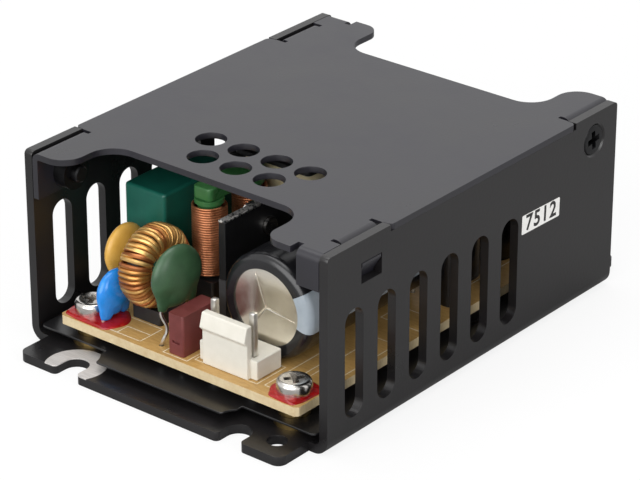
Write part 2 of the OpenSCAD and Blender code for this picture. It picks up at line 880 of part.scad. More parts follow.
module circuit_board() {
    color("#c9a15e")
    translate([0, 0, board_bottom])
        linear_extrude(board_t)
            difference() {
                board_outline();
                for (p = board_holes())
                    translate(p)
                        circle(d = board_screw_d + 2 * lead_gap);
                for (g = LEADS, p = g[0])
                    translate(p)
                        circle(d = lead_d + 2 * lead_gap);
                for (p = PINS)
                    translate(p)
                        square(pin_w + 2 * lead_gap, center = true);
            }
}

module board_screws() {
    color("#d7d3cc")
    for (p = board_holes())
        translate([p[0], p[1], board_top]) {
            pan_head();
            translate([0, 0, -board_top + 1])
                cylinder(d = board_screw_d, h = board_top - 1);
        }
}

module screw_varnish() {
    color("#b3131c")
    translate([0, 0, board_top])
        linear_extrude(varnish_t)
            difference() {
                intersection() {
                    board_outline();
                    for (p = board_holes())
                        translate(p)
                            circle(d = varnish_d);
                }
                for (p = board_holes())
                    translate(p)
                        circle(d = pan_head_d);
                for (p = pair(front_cap_c, front_cap_gap, 0))
                    translate(p)
                        circle(d = lead_d);
            }
}

module component_leads() {
    color("#c4c2bd") {
        for (g = LEADS)
            wires(g[0], g[1]);
        for (p = row([bulk_c[0], bulk_lead_y], 2, bulk_lead_gap))
            translate([p[0], p[1], bulk_z]) {
                sphere(d = lead_d);
                rotate([90, 0, 0])
                    cylinder(d = lead_d, h = bulk_lead_y - bulk_c[1] - bulk_l + sleeve_t);
            }
        for (c = opto_c, p = row(c, 2, leg_pitch))
            translate([p[0] - lead_d / 2, p[1], opto_z + opto_size[2] / 2 - lead_d / 2])
                for (s = [0, 1])
                    mirror([0, s, 0])
                        translate([0, opto_size[1] / 2, 0])
                            cube([lead_d, (opto_row - opto_size[1]) / 2, lead_d / 2]);
    }
}

module solder_joints() {
    color("#a9aaac") {
        for (g = LEADS, p = g[0])
            translate([p[0], p[1], tail_z])
                difference() {
                    translate([0, 0, lead_tail * 0.25])
                        cylinder(d1 = lead_d * 1.3, d2 = lead_d * 2.6, h = lead_tail * 0.75);
                    cylinder(d = lead_d, h = lead_tail + over);
                }
        for (p = PINS)
            translate([p[0], p[1], board_bottom])
                difference() {
                    translate([0, 0, -lead_tail * 0.75])
                        cylinder(d1 = pin_w * 1.7, d2 = pin_w * 2.4, h = lead_tail * 0.75);
                    cube([pin_w, pin_w, 3 * lead_tail], center = true);
                }
    }
}

module controller_chip() {
    chip = [5, 4, 1.3];
    color("#232326")
    translate([chip_c[0], chip_c[1], board_bottom - chip[2]]) {
        translate([-chip[0] / 2, -chip[1] / 2, 0])
            cube([chip[0], chip[1], chip[2] - 0.1]);
        for (i = [-1.5 : 1 : 1.5])
            translate([i * 1.2 - 0.2, -chip[1] / 2 - 0.9, chip[2] - 0.25])
                cube([0.4, chip[1] + 1.8, 0.25]);
    }
}

// ---- connectors ----

module header(c, ways, turn) {
    w = ways * way_pitch;
    lock_w = w - 2.6;
    lip_z = lock_h - lip_h;
    difference() {
        translate([c[0], c[1], board_top])
            rotate([0, 0, turn]) {
                translate([-w / 2, 0, 0])
                    cube([w, base_d, base_h]);
                translate([-lock_w / 2, -lock_step, 0])
                    cube([lock_w, lock_t, lock_h]);
                translate([-lock_w / 2, 0, 0])
                    rotate([90, 0, 90])
                        linear_extrude(lock_w)
                            polygon([[-lock_step, lip_z - lip_reach], [-lock_step, lock_h],
                                [-lock_step - lip_reach, lip_z]]);
            }
        pins();
    }
}

module pins() {
    for (p = PINS)
        translate([p[0] - pin_w / 2, p[1] - pin_w / 2, tail_z])
            cube([pin_w, pin_w, board_top + pin_h - tail_z]);
}

module ac_header() {
    color("#e9e5d6")
    header(ac_c, 3, 0);
}

module dc_header() {
    color("#e9e5d6")
    header(dc_c, dc_ways, 180);
}

module ac_header_pins() {
    color("#d8d5cd")
    intersection() {
        pins();
        translate([-half_w, -overall_l, 0])
            cube([case_w, overall_l, case_h]);
    }
}

module dc_header_pins() {
    color("#d8d5cd")
    intersection() {
        pins();
        translate([-half_w, 0, 0])
            cube([case_w, overall_l, case_h]);
    }
}

// ---- parts on the mains side ----

module fuse() {
    slit = 0.5;
    color("#6b2f2a")
    difference() {
        translate([fuse_c[0], fuse_c[1], board_top])
            rounded_block(fuse_size, 0.4);
        translate([fuse_c[0] - fuse_size[0] / 4, fuse_c[1] - fuse_size[1] / 2 - over, board_top + 2])
            cube([fuse_size[0] / 2, slit + over, slit]);
    }
}

module disc_section(d) {
    intersection() {
        union() {
            square([d - disc_t, disc_t], center = true);
            translate([(d - disc_t) / 2, 0])
                circle(d = disc_t);
        }
        translate([0, -disc_t])
            square([d, 2 * disc_t]);
    }
}

// A coated disc on two leads, its axis along X before the turn
module coated_disc(c, z, d, gap, turn) {
    drop = sqrt(d * d - gap * gap) / 2;
    difference() {
        translate([c[0], c[1], z])
            rotate([0, 0, turn]) {
                rotate([0, 90, 0])
                    rotate_extrude()
                        disc_section(d);
                for (s = [-1, 1])
                    translate([0, s * gap / 2, -drop - coat_l])
                        cylinder(d1 = lead_d * 1.3, d2 = disc_t * 0.9, h = coat_l + socket);
            }
        wires(pair(c, gap, turn), z - drop + socket);
    }
}

module front_capacitor() {
    color("#1f6fc4")
    coated_disc(front_cap_c, front_cap_z, front_cap_d, front_cap_gap, 0);
}

module thermistor() {
    color("#3b6745")
    coated_disc(thermistor_c, thermistor_cz, thermistor_d, thermistor_gap, thermistor_turn);
}

module varistor() {
    color("#cb9530")
    coated_disc(varistor_c, varistor_cz, varistor_d, varistor_gap, 0);
}

module bridging_capacitor() {
    color("#1f6fc4")
    coated_disc(bridging_c, bridging_z, bridging_d, bridging_gap, 0);
}

module choke_base() {
    color("#1c1c1e")
    difference() {
        translate([choke_base_c[0], choke_base_c[1], board_top])
            rounded_block(choke_base, 0.5);
        translate([choke_c[0] - choke_w / 2 - fit, choke_c[1], choke_cz])
            rotate([0, 90, 0])
                cylinder(d = choke_d + 2 * fit, h = choke_base[0] + choke_w);
    }
}

module choke_core() {
    color("#2c3a35")
    translate([choke_c[0], choke_c[1], choke_cz])
        rotate([0, 90, 0])
            rotate_extrude()
                translate([choke_hole_d / 2 + choke_wire_d + fit, -choke_w / 2 + choke_wire_d])
                    square([(choke_d - choke_hole_d) / 2 - 2 * choke_wire_d - fit,
                        choke_w - 2 * choke_wire_d]);
}

module choke_winding() {
    depth = (choke_d - choke_hole_d) / 2;
    mid = (choke_d + choke_hole_d) / 4;
    color("#b9853f")
    translate([choke_c[0], choke_c[1], choke_cz])
        rotate([0, 90, 0])
            for (i = [0 : choke_turns - 1])
                rotate([90, 0, i * 360 / choke_turns])
                    translate([mid, 0, -choke_wire_d / 2])
                        linear_extrude(choke_wire_d)
                            difference() {
                                rounded_rect(depth, choke_w, choke_wire_d * 1.2);
                                square([depth - 2 * choke_wire_d, choke_w - 2 * choke_wire_d],
                                    center = true);
                            }
}

module x_capacitor() {
    color("#2c6a60")
    translate([x_cap_c[0], x_cap_c[1], board_top])
        rounded_block(x_cap_size, 0.6);
}

module filter_core_ring(gap) {
    w = filter_leg + 2 * gap;
    l = filter_pitch + filter_leg + 2 * gap;
    h = filter_top + filter_yoke - filter_z;
    translate([filter_c[0], filter_c[1], filter_z])
        difference() {
            translate([-w / 2, -l / 2, -gap])
                cube([w, l, h + 2 * gap]);
            translate([-w, -l / 2 + w, filter_yoke + gap])
                cube([2 * w, l - 2 * w, h - 2 * filter_yoke - 2 * gap]);
        }
}

module filter_core() {
    color("#2a2b2e")
    filter_core_ring(0);
}

module filter_bobbin() {
    color("#6f9c57")
    difference() {
        union() {
            translate([filter_c[0], filter_c[1], board_top])
                rounded_block([filter_base[0], filter_base[1], filter_coil_z - board_top], 0.5);
            for (p = pair(filter_c, filter_pitch, 0))
                translate([p[0], p[1], filter_coil_z]) {
                    cylinder(d = filter_tube_d, h = filter_coil_h);
                    translate([0, 0, filter_coil_h])
                        cylinder(d = filter_coil_d - 2 * filter_wire_d, h = filter_flange_t);
                }
        }
        filter_core_ring(fit);
        // the yoke is laid in from below
        translate([filter_c[0] - filter_leg / 2 - fit,
            filter_c[1] - (filter_pitch + filter_leg) / 2 - fit, board_top - over])
            cube([filter_leg + 2 * fit, filter_pitch + filter_leg + 2 * fit,
                filter_z - board_top + over + fit]);
    }
}

module filter_winding() {
    color("#b4713f")
    for (p = pair(filter_c, filter_pitch, 0))
        translate([p[0], p[1], filter_coil_z])
            difference() {
                cylinder(d = filter_coil_d, h = filter_coil_h);
                translate([0, 0, -over])
                    cylinder(d = filter_tube_d, h = filter_coil_h + 2 * over);
            }
}

module filter_tape() {
    w = filter_leg + 2 * filter_tape_t;
    l = filter_pitch + filter_leg + 2 * filter_tape_t;
    color("#8fb070")
    difference() {
        translate([filter_c[0], filter_c[1], filter_top])
            rounded_block([w, l, filter_yoke + filter_tape_t / 2], filter_tape_t);
        filter_core_ring(0);
    }
}

module bulk_capacitor_can() {
    color("#c9c7c2")
    difference() {
        translate([bulk_c[0], bulk_c[1] + sleeve_t, bulk_z])
            rotate([-90, 0, 0]) {
                cylinder(d = can_d - 2 * can_edge_r, h = can_l);
                translate([0, 0, can_edge_r])
                    cylinder(d = can_d, h = can_l - can_edge_r);
                translate([0, 0, can_edge_r])
                    rotate_extrude()
                        translate([can_d / 2 - can_edge_r, 0])
                            circle(r = can_edge_r);
            }
        // the score that lets the end open under pressure
        for (a = [8, 128, 248])
            translate([bulk_c[0], bulk_c[1] + sleeve_t, bulk_z])
                rotate([0, a, 0])
                    translate([0, -over, -vent_mark_w / 2])
                        cube([vent_mark_l, over + vent_mark_w, vent_mark_w]);
    }
}

module sleeve_section(d, l, edge, lip) {
    difference() {
        translate([0, 0])
            square([d / 2, l]);
        translate([-over, sleeve_t])
            square([d / 2 - sleeve_t + over - edge, l]);
        translate([0, sleeve_t + edge])
            square([d / 2 - sleeve_t, l]);
        translate([d / 2 - sleeve_t - edge, sleeve_t + edge])
            circle(r = edge);
        translate([-over, -over])
            square([d / 2 - edge - lip + over, l + 2 * over]);
        translate([d / 2 - edge - sleeve_t, edge + sleeve_t])
            rotate(-90)
                corner_waste(edge + sleeve_t);
    }
}

module bulk_capacitor_sleeve() {
    color("#17181b")
    translate([bulk_c[0], bulk_c[1], bulk_z])
        rotate([-90, 0, 0])
            rotate_extrude()
                sleeve_section(bulk_d, bulk_l, can_edge_r, sleeve_lip - can_edge_r + sleeve_t);
}

module sink_plate(c, l) {
    difference() {
        translate([c[0], c[1], board_top + plate_gap])
            cube([sink_t, l, sink_h - plate_gap]);
        for (p = feet_of(c, l))
            translate([p[0] - over, p[1] - foot_w / 2, board_top])
                cube([sink_t + 2 * over, foot_w, foot_h]);
    }
}

module tab_screw_hole(c, y) {
    translate([c[0] - sink_t - over, y, tab_screw_z])
        rotate([0, 90, 0])
            cylinder(d = board_screw_d, h = 3 * sink_t + over);
}

module primary_heatsink() {
    color("#202124")
    difference() {
        sink_plate(sink_c, sink_l);
        tab_screw_hole(sink_c, transistor_y);
    }
}

module rectifier_heatsink() {
    color("#202124")
    difference() {
        sink_plate([rear_sink_c[0] - sink_t, rear_sink_c[1] - rear_sink_l], rear_sink_l);
        tab_screw_hole([rear_sink_c[0] - sink_t, 0], rectifier_y);
    }
}

module heatsink_feet() {
    color("#b9b8b4")
    for (p = concat(feet_of([sink_c[0] + sink_t / 2, sink_c[1]], sink_l),
            feet_of([rear_sink_c[0] - sink_t / 2, rear_sink_c[1] - rear_sink_l], rear_sink_l)))
        translate([p[0] - sink_t / 2, p[1] - foot_w / 2, board_top])
            cube([sink_t, foot_w, foot_h]);
}

// ---- power parts ----

// A three-legged package: its mounting face at x = 0, the body towards +X
module tab_body() {
    w = tab_package[0];
    t = tab_package[1];
    h = tab_package[2];
    body_h = h * (1 - tab_part);
    difference() {
        union() {
            translate([0, -w / 2, 0])
                cube([t, w, body_h]);
            translate([0, -w / 2, body_h])
                cube([tab_t, w, h - body_h]);
        }
        translate([-over, 0, h - tab_hole_drop])
            rotate([0, 90, 0])
                cylinder(d = board_screw_d, h = t + 2 * over);
    }
}

module power_transistor() {
    color("#2a2a2c")
    translate([sink_c[0], transistor_y, package_z])
        mirror([1, 0, 0])
            tab_body();
}

module output_rectifier() {
    color("#2a2a2c")
    translate([rear_sink_c[0], rectifier_y, package_z])
        tab_body();
}

module tab_screw() {
    translate([tab_t, 0, 0])
        rotate([0, 90, 0])
            pan_head();
    translate([-sink_t - 0.6, 0, 0])
        rotate([0, 90, 0])
            cylinder(d = board_screw_d, h = tab_t + sink_t + 0.6 + seat);
}

module package_screws() {
    color("#d7d3cc") {
        translate([sink_c[0], transistor_y, tab_screw_z])
            mirror([1, 0, 0])
                tab_screw();
        translate([rear_sink_c[0], rectifier_y, tab_screw_z])
            tab_screw();
    }
}

module bridge_rectifier() {
    cut = 2.5;
    color("#232326")
    translate([bridge_c[0] - bridge_size[0] / 2, bridge_c[1], bridge_z])
        rotate([90, 0, 90])
            linear_extrude(bridge_size[0])
                polygon([[-bridge_size[1] / 2, 0], [bridge_size[1] / 2, 0],
                    [bridge_size[1] / 2, bridge_size[2]], [-bridge_size[1] / 2 + cut, bridge_size[2]],
                    [-bridge_size[1] / 2, bridge_size[2] - cut]]);
}

module transformer_core() {
    window = (core_size[0] - 2 * core_web - core_leg) / 2;
    color("#303136")
    translate([transformer_c[0], transformer_c[1] + core_size[1] / 2, core_z])
        rotate([90, 0, 0])
            linear_extrude(core_size[1])
                difference() {
                    translate([-core_size[0] / 2, 0])
                        square([core_size[0], core_size[2]]);
                    for (s = [-1, 1])
                        translate([s * (core_leg + window) / 2, core_size[2] / 2])
                            square([window, window_h], center = true);
                }
}

module transformer_bobbin() {
    tube = core_leg + 2 * bobbin_t;
    color("#2b2a2a")
    translate([transformer_c[0], transformer_c[1], 0])
        difference() {
            union() {
                translate([0, 0, window_z])
                    rounded_block([tube, core_size[1] + 2 * bobbin_t, window_h], 0.5);
                for (z = [window_z, window_z + window_h - bobbin_t])
                    translate([0, 0, z])
                        rounded_block([bobbin_w, winding_d + 0.6, bobbin_t], 1);
                for (s = [-1, 1])
                    translate([0, s * rail_y, board_top])
                        rounded_block([bobbin_w, rail_w, window_z - board_top], 0.4);
            }
            translate([-core_leg / 2, -core_size[1] / 2, 0])
                cube([core_leg, core_size[1], case_h]);
        }
}

module transformer_winding() {
    tube = core_leg + 2 * bobbin_t;
    color("#d9d3bf")
    translate([transformer_c[0], transformer_c[1], window_z + bobbin_t])
        difference() {
            rounded_block([bobbin_w - 0.4, winding_d, window_h - 2 * bobbin_t], 4);
            translate([0, 0, -over])
                rounded_block([tube, core_size[1] + 2 * bobbin_t, window_h + over], 0.5);
        }
}

module upright_can(d, h, mark) {
    r = d * 0.08;
    difference() {
        union() {
            cylinder(d = d - 2 * sleeve_t, h = h - sleeve_t - r);
            translate([0, 0, h - sleeve_t - r])
                cylinder(d = d - 2 * sleeve_t - 2 * r, h = r);
            translate([0, 0, h - sleeve_t - r])
                rotate_extrude()
                    translate([d / 2 - sleeve_t - r, 0])
                        circle(r = r);
        }
        if (mark)
            for (a = [0, 90])
                rotate([0, 0, a])
                    translate([0, 0, h - sleeve_t])
                        cube([d * 0.5, vent_mark_w, 2 * vent_mark_w], center = true);
    }
}

module upright_sleeve(d, h) {
    translate([0, 0, h])
        mirror([0, 0, 1])
            rotate_extrude()
                sleeve_section(d, h, d * 0.08, d * 0.05);
}

module small_capacitor_can() {
    color("#c9c7c2")
    translate([small_cap_c[0], small_cap_c[1], board_top])
        upright_can(small_cap[0], small_cap[1], false);
}

module small_capacitor_sleeve() {
    color("#20304a")
    translate([small_cap_c[0], small_cap_c[1], board_top])
        upright_sleeve(small_cap[0], small_cap[1]);
}

module output_capacitor_cans() {
    color("#c9c7c2")
    for (c = output_caps)
        translate([c[0], c[1], board_top])
            upright_can(output_cap_d, output_cap_h, true);
}

module output_capacitor_sleeves() {
    color("#2f2420")
    for (c = output_caps)
        translate([c[0], c[1], board_top])
            upright_sleeve(output_cap_d, output_cap_h);
}

module output_choke_core() {
    color("#303136")
    translate([rod_choke_c[0], rod_choke_c[1], board_top])
        cylinder(d = rod_d, h = rod_choke[1]);
}

module output_choke_winding() {
    color("#b4713f")
    translate([rod_choke_c[0], rod_choke_c[1], board_top])
        difference() {
            cylinder(d = rod_choke[0], h = rod_choke[1] - rod_bare);
            translate([0, 0, -over])
                cylinder(d = rod_d, h = rod_choke[1] + 2 * over);
        }
}

module optocouplers() {
    color("#2a2a2c")
    for (c = opto_c)
        translate([c[0] - opto_size[0] / 2, c[1] - opto_size[1] / 2, opto_z])
            cube(opto_size);
}

module trimmer() {
    rotor_d = trimmer_size[0] * 0.6;
    color("#3b6fb0")
    translate([trimmer_c[0], trimmer_c[1], board_top])
        difference() {
            union() {
                rounded_block(trimmer_size, 0.3);
                cylinder(d = rotor_d, h = trimmer_size[2] + 0.4);
            }
            translate([0, 0, trimmer_size[2] + 0.4])
                cube([rotor_d, 0.6, 1.2], center = true);
        }
}

chassis();
cover();
clinch_nuts();
cover_screws();
standoffs();
insulating_sheet();
circuit_board();
board_screws();
screw_varnish();
side_label();
ac_header();
ac_header_pins();
fuse();
front_capacitor();
thermistor();
varistor();
choke_base();
choke_core();
choke_winding();
x_capacitor();
filter_bobbin();
filter_core();
filter_winding();
filter_tape();
bulk_capacitor_can();
bulk_capacitor_sleeve();
primary_heatsink();
heatsink_feet();
power_transistor();
bridge_rectifier();
transformer_core();
transformer_bobbin();
transformer_winding();
bridging_capacitor();
small_capacitor_can();
small_capacitor_sleeve();
rectifier_heatsink();
output_rectifier();
package_screws();
output_capacitor_cans();
output_capacitor_sleeves();
output_choke_core();
output_choke_winding();
optocouplers();
trimmer();
dc_header();
dc_header_pins();
component_leads();
solder_joints();
controller_chip();
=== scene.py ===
import math
import random

import bpy
from mathutils import Matrix, Vector


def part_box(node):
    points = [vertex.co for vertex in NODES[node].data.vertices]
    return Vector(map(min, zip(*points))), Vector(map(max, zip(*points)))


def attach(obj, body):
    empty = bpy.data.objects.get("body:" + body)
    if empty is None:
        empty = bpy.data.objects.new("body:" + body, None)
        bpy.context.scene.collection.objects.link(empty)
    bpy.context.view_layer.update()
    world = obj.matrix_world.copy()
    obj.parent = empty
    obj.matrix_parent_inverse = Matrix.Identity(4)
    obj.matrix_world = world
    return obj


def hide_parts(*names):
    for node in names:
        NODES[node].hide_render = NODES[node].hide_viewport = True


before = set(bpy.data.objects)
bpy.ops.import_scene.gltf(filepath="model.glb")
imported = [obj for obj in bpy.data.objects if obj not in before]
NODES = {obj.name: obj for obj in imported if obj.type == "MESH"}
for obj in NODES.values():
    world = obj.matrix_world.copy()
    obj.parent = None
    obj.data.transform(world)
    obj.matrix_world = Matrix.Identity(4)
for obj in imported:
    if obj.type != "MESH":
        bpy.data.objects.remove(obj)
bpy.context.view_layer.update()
MM = 0.001

# the mounting notch that has a bare ring round it
BARE_NOTCH = (-17.2 * MM, -42.5 * MM, 0.0)
CHOKE_TURNS = 46
# the thermistor's legs: how far apart in millimetres, and how many degrees round the two stand
THERMISTOR_GAP, THERMISTOR_TURN = 7.0, -6.0
# height of the circuit board's upper face
BOARD_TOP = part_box("circuit_board")[1].z


# ---------------------------------------------------------------- small helpers

def linear(code):
    """A linear colour from an sRGB hex value."""
    parts = [int(code[i:i + 2], 16) / 255 for i in (1, 3, 5)]
    return tuple(p / 12.92 if p <= 0.04045 else ((p + 0.055) / 1.055) ** 2.4
                 for p in parts) + (1.0,)


def add(tree, kind, inputs=None, **settings):
    """Adds one shader node with its settings, its values and its links."""
    node = tree.nodes.new("ShaderNode" + kind)
    for name, value in settings.items():
        setattr(node, name, value)
    for socket, value in (inputs or {}).items():
        if isinstance(value, bpy.types.NodeSocket):
            tree.links.new(value, node.inputs[socket])
        else:
            node.inputs[socket].default_value = value
    return node


def calc(tree, operation, *values):
    """The result of one arithmetic node."""
    return add(tree, "Math", dict(enumerate(values)), operation=operation).outputs[0]


def blend(tree, share, first, second):
    """One colour over another by a share from 0 to 1."""
    return add(tree, "Mix", {0: share, 6: first, 7: second}, data_type="RGBA").outputs[2]


def ramp(tree, value, *stops):
    """A colour ramp through (place, colour) stops."""
    node = add(tree, "ValToRGB", {0: value})
    marks = node.color_ramp.elements
    while len(marks) < len(stops):
        marks.new(0.5)
    for mark, (place, colour) in zip(marks, stops):
        mark.position = place
        mark.color = colour
    return node.outputs[0]


def grey(level):
    """An opaque grey, in linear light."""
    return (level, level, level, 1.0)


def place_of(tree):
    """The place of the shaded point, in the frame that every piece shares."""
    return add(tree, "TexCoord").outputs["Object"]


def middle(node):
    """The middle of a CAD node's box."""
    low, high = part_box(node)
    return (low + high) / 2


def new_finish(name):
    """An empty node material and its tree."""
    material = bpy.data.materials.new(name)
    material.use_nodes = True
    material.node_tree.nodes.clear()
    return material, material.node_tree


def close_finish(tree, shader):
    """Joins the last shader of a finish to the material's output."""
    add(tree, "OutputMaterial", {"Surface": shader})


def per_mm(grain):
    """Noise scale at which one feature is about this many millimetres."""
    return 1 / (grain * MM)


def noise(tree, where, grain, detail=3.0, roughness=0.5):
    """Soft noise from 0 to 1 whose features are as wide as the grain, in millimetres."""
    return add(tree, "TexNoise", {"Vector": where, "Scale": per_mm(grain), "Detail": detail,
                                  "Roughness": roughness}).outputs["Fac"]


def bumped(tree, height, depth):
    """A normal tilted by a height that reaches this depth, in millimetres."""
    return add(tree, "Bump", {"Height": height, "Distance": depth * MM}).outputs["Normal"]


def plain_finish(name, dark, light, patch, rough, grain, depth, metallic=0.0, ior=None):
    """A surface whose colour drifts between two tones over patches, whose gloss drifts with it,
    and whose grain has a real height. Lengths are in millimetres."""
    material, tree = new_finish(name)
    where = place_of(tree)
    drift = noise(tree, where, patch, detail=4.0, roughness=0.6)
    fine = noise(tree, where, grain, detail=2.0)
    colour = ramp(tree, drift, (0.32, linear(dark)), (0.68, linear(light)))
    gloss = add(tree, "MapRange", {"Value": drift, "From Min": 0.3, "From Max": 0.7,
                                   "To Min": rough * 0.85, "To Max": rough * 1.2}).outputs[0]
    values = {"Base Color": colour, "Roughness": gloss, "Metallic": metallic,
              "Normal": bumped(tree, fine, depth)}
    if ior:
        values["IOR"] = ior
    close_finish(tree, add(tree, "BsdfPrincipled", values).outputs[0])
    return material


# ---------------------------------------------------------------- finishes

def painted_chassis():
    """Baked satin black paint on a folded sheet, bare and linished round one mounting notch."""
    ring_radius = 5.2 * MM
    # the bare ring lies on the upper face of the tongue, which is between these heights
    face_low, face_high = 1.4 * MM, 1.75 * MM
    material, tree = new_finish("baked_black_paint")
    where = place_of(tree)
    drift = noise(tree, where, 9.0, detail=5.0, roughness=0.6)
    peel = noise(tree, where, 0.55, detail=2.0)
    dust = noise(tree, where, 0.28, detail=1.0)
    paint = ramp(tree, drift, (0.3, linear("#161516")), (0.7, linear("#1c1a1b")))
    speck = ramp(tree, dust, (0.74, grey(0.0)), (0.8, grey(1.0)))
    paint = blend(tree, calc(tree, "MULTIPLY", speck, 0.25), paint, linear("#4a4746"))
    gloss = add(tree, "MapRange", {"Value": drift, "From Min": 0.3, "From Max": 0.7,
                                   "To Min": 0.26, "To Max": 0.36}).outputs[0]
    painted = add(tree, "BsdfPrincipled", {"Base Color": paint, "Roughness": gloss, "IOR": 1.5,
                                           "Normal": bumped(tree, peel, 0.012)}).outputs[0]
    # linished metal: fine scratches, all running one way
    streak = add(tree, "Mapping", {"Vector": where, "Rotation": (0, 0, 0.5),
                                   "Scale": (1.0, 14.0, 1.0)}).outputs[0]
    scratch = noise(tree, streak, 2.2, detail=6.0, roughness=0.7)
    metal = ramp(tree, scratch, (0.3, linear("#bdb9b6")), (0.7, linear("#dedad7")))
    bare = add(tree, "BsdfPrincipled", {"Base Color": metal, "Roughness": 0.5, "Metallic": 0.35,
                                        "Normal": bumped(tree, scratch, 0.01)}).outputs[0]
    flat = add(tree, "VectorMath", {0: where, 1: (1, 1, 0)}, operation="MULTIPLY").outputs[0]
    away = add(tree, "VectorMath", {0: flat, 1: BARE_NOTCH}, operation="DISTANCE").outputs["Value"]
    height = add(tree, "SeparateXYZ", {0: where}).outputs["Z"]
    mask = calc(tree, "MULTIPLY", calc(tree, "LESS_THAN", away, ring_radius),
                calc(tree, "GREATER_THAN", height, face_low))
    mask = calc(tree, "MULTIPLY", mask, calc(tree, "LESS_THAN", height, face_high))
    close_finish(tree, add(tree, "MixShader", {0: mask, 1: painted, 2: bare}).outputs[0])
    return material


# rectangles of the screened legend, in millimetres: left, front, right, rear
LEGEND = (
    (-17.4, -36.9, -8.2, -31.6), (-13.2, -36.9, -8.2, -34.3), (-3.0, -37.2, 2.0, -28.2),
    (2.6, -35.9, 15.4, -28.9), (-26.0, -22.6, -15.4, -3.0), (16.6, -35.4, 19.0, -20.0),
    (20.2, -30.4, 24.2, -12.0), (-15.2, -20.8, -6.0, -3.0), (16.4, -6.0, 24.4, -1.0),
    (3.0, 11.0, 9.8, 13.4), (-26.0, 2.0, -19.4, 6.6), (9.4, 8.9, 20.6, 31.1),
    (-11.0, 17.4, 1.2, 23.8), (10.0, 32.0, 17.0, 37.2), (-16.4, 28.9, 0.2, 35.9))


def board_laminate():
    """Phenolic paper laminate, punched, with its component legend screened in pale ink."""
    half_line = 0.09 * MM
    level_from = 0.6
    material, tree = new_finish("phenolic_paper_laminate")
    where = place_of(tree)
    split = add(tree, "SeparateXYZ", {0: where})
    fibre = add(tree, "Mapping", {"Vector": where, "Scale": (1.0, 5.0, 1.0)}).outputs[0]
    drift = noise(tree, fibre, 1.6, detail=5.0, roughness=0.65)
    face = ramp(tree, drift, (0.3, linear("#ad8548")), (0.7, linear("#c8a264")))
    edge = ramp(tree, drift, (0.3, linear("#c8b188")), (0.7, linear("#dccba6")))
    up = add(tree, "SeparateXYZ", {0: add(tree, "NewGeometry").outputs["Normal"]}).outputs["Z"]
    level = calc(tree, "GREATER_THAN", calc(tree, "ABSOLUTE", up), level_from)
    body = blend(tree, level, edge, face)
    ink = None
    for left, front, right, rear in LEGEND:
        # how far the point lies outside the rectangle, less than nothing inside it
        reach = []
        for axis, low, high in (("X", left, right), ("Y", front, rear)):
            off = calc(tree, "SUBTRACT", split.outputs[axis], (low + high) / 2 * MM)
            size = calc(tree, "ABSOLUTE", off)
            reach.append(calc(tree, "SUBTRACT", size, (high - low) / 2 * MM))
        far = calc(tree, "ABSOLUTE", calc(tree, "MAXIMUM", *reach))
        line = calc(tree, "LESS_THAN", far, half_line)
        ink = line if ink is None else calc(tree, "MAXIMUM", ink, line)
    worn = ramp(tree, noise(tree, where, 0.35), (0.36, grey(0.35)), (0.5, grey(0.95)))
    ink = calc(tree, "MULTIPLY", ink, calc(tree, "GREATER_THAN", up, level_from))
    ink = calc(tree, "MULTIPLY", ink, worn)
    close_finish(tree, add(tree, "BsdfPrincipled", {
        "Base Color": blend(tree, ink, body, linear("#efe6cb")), "Roughness": 0.42, "IOR": 1.5,
        "Normal": bumped(tree, drift, 0.01)}).outputs[0])
    return material


def sleeve_film():
    """Shrunk glossy black film with the pale polarity stripe printed along one side."""
    stripe_at, stripe_half = math.radians(8), math.radians(23)
    material, tree = new_finish("shrunk_black_film")
    axis = middle("bulk_capacitor_sleeve")
    where = place_of(tree)
    centred = add(tree, "Mapping", {"Vector": where, "Location": (-axis.x, 0, -axis.z)}).outputs[0]
    split = add(tree, "SeparateXYZ", {0: centred})
    angle = calc(tree, "ARCTAN2", split.outputs["Z"], split.outputs["X"])
    off = calc(tree, "SUBTRACT", angle, stripe_at)
    near = calc(tree, "LESS_THAN", calc(tree, "ABSOLUTE", off), stripe_half)
    drift = noise(tree, where, 3.0)
    film = ramp(tree, drift, (0.3, linear("#141416")), (0.7, linear("#1c1c1f")))
    stripe = ramp(tree, drift, (0.3, linear("#9aa4ad")), (0.7, linear("#a6b0b8")))
    close_finish(tree, add(tree, "BsdfPrincipled", {
        "Base Color": blend(tree, near, film, stripe), "Roughness": 0.24, "IOR": 1.54,
        "Normal": bumped(tree, noise(tree, where, 1.2), 0.012)}).outputs[0])
    return material


def sawn_heatsink():
    """Black anodised plate whose sawn top edge shows bright metal in broken streaks."""
    band = 0.35 * MM
    worn_front_of = -16.0 * MM
    material, tree = new_finish("black_anodised_plate")
    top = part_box("primary_heatsink")[1].z
    where = place_of(tree)
    split = add(tree, "SeparateXYZ", {0: where})
    edge = calc(tree, "GREATER_THAN", split.outputs["Z"], top - band)
    front = calc(tree, "LESS_THAN", split.outputs["Y"], worn_front_of)
    broken = ramp(tree, noise(tree, where, 0.5, detail=4.0), (0.42, grey(0.0)), (0.5, grey(1.0)))
    mask = calc(tree, "MULTIPLY", calc(tree, "MULTIPLY", edge, front), broken)
    fine = noise(tree, where, 0.25)
    dye = ramp(tree, noise(tree, where, 2.0), (0.3, linear("#121213")), (0.7, linear("#1a1a1c")))
    dyed = add(tree, "BsdfPrincipled", {"Base Color": dye, "Roughness": 0.45, "Metallic": 0.2,
                                        "Normal": bumped(tree, fine, 0.006)}).outputs[0]
    bright = add(tree, "BsdfPrincipled", {
        "Base Color": linear("#e2dfda"), "Roughness": 0.3, "Metallic": 1.0,
        "Normal": bumped(tree, fine, 0.03)}).outputs[0]
    close_finish(tree, add(tree, "MixShader", {0: mask, 1: dyed, 2: bright}).outputs[0])
    return material


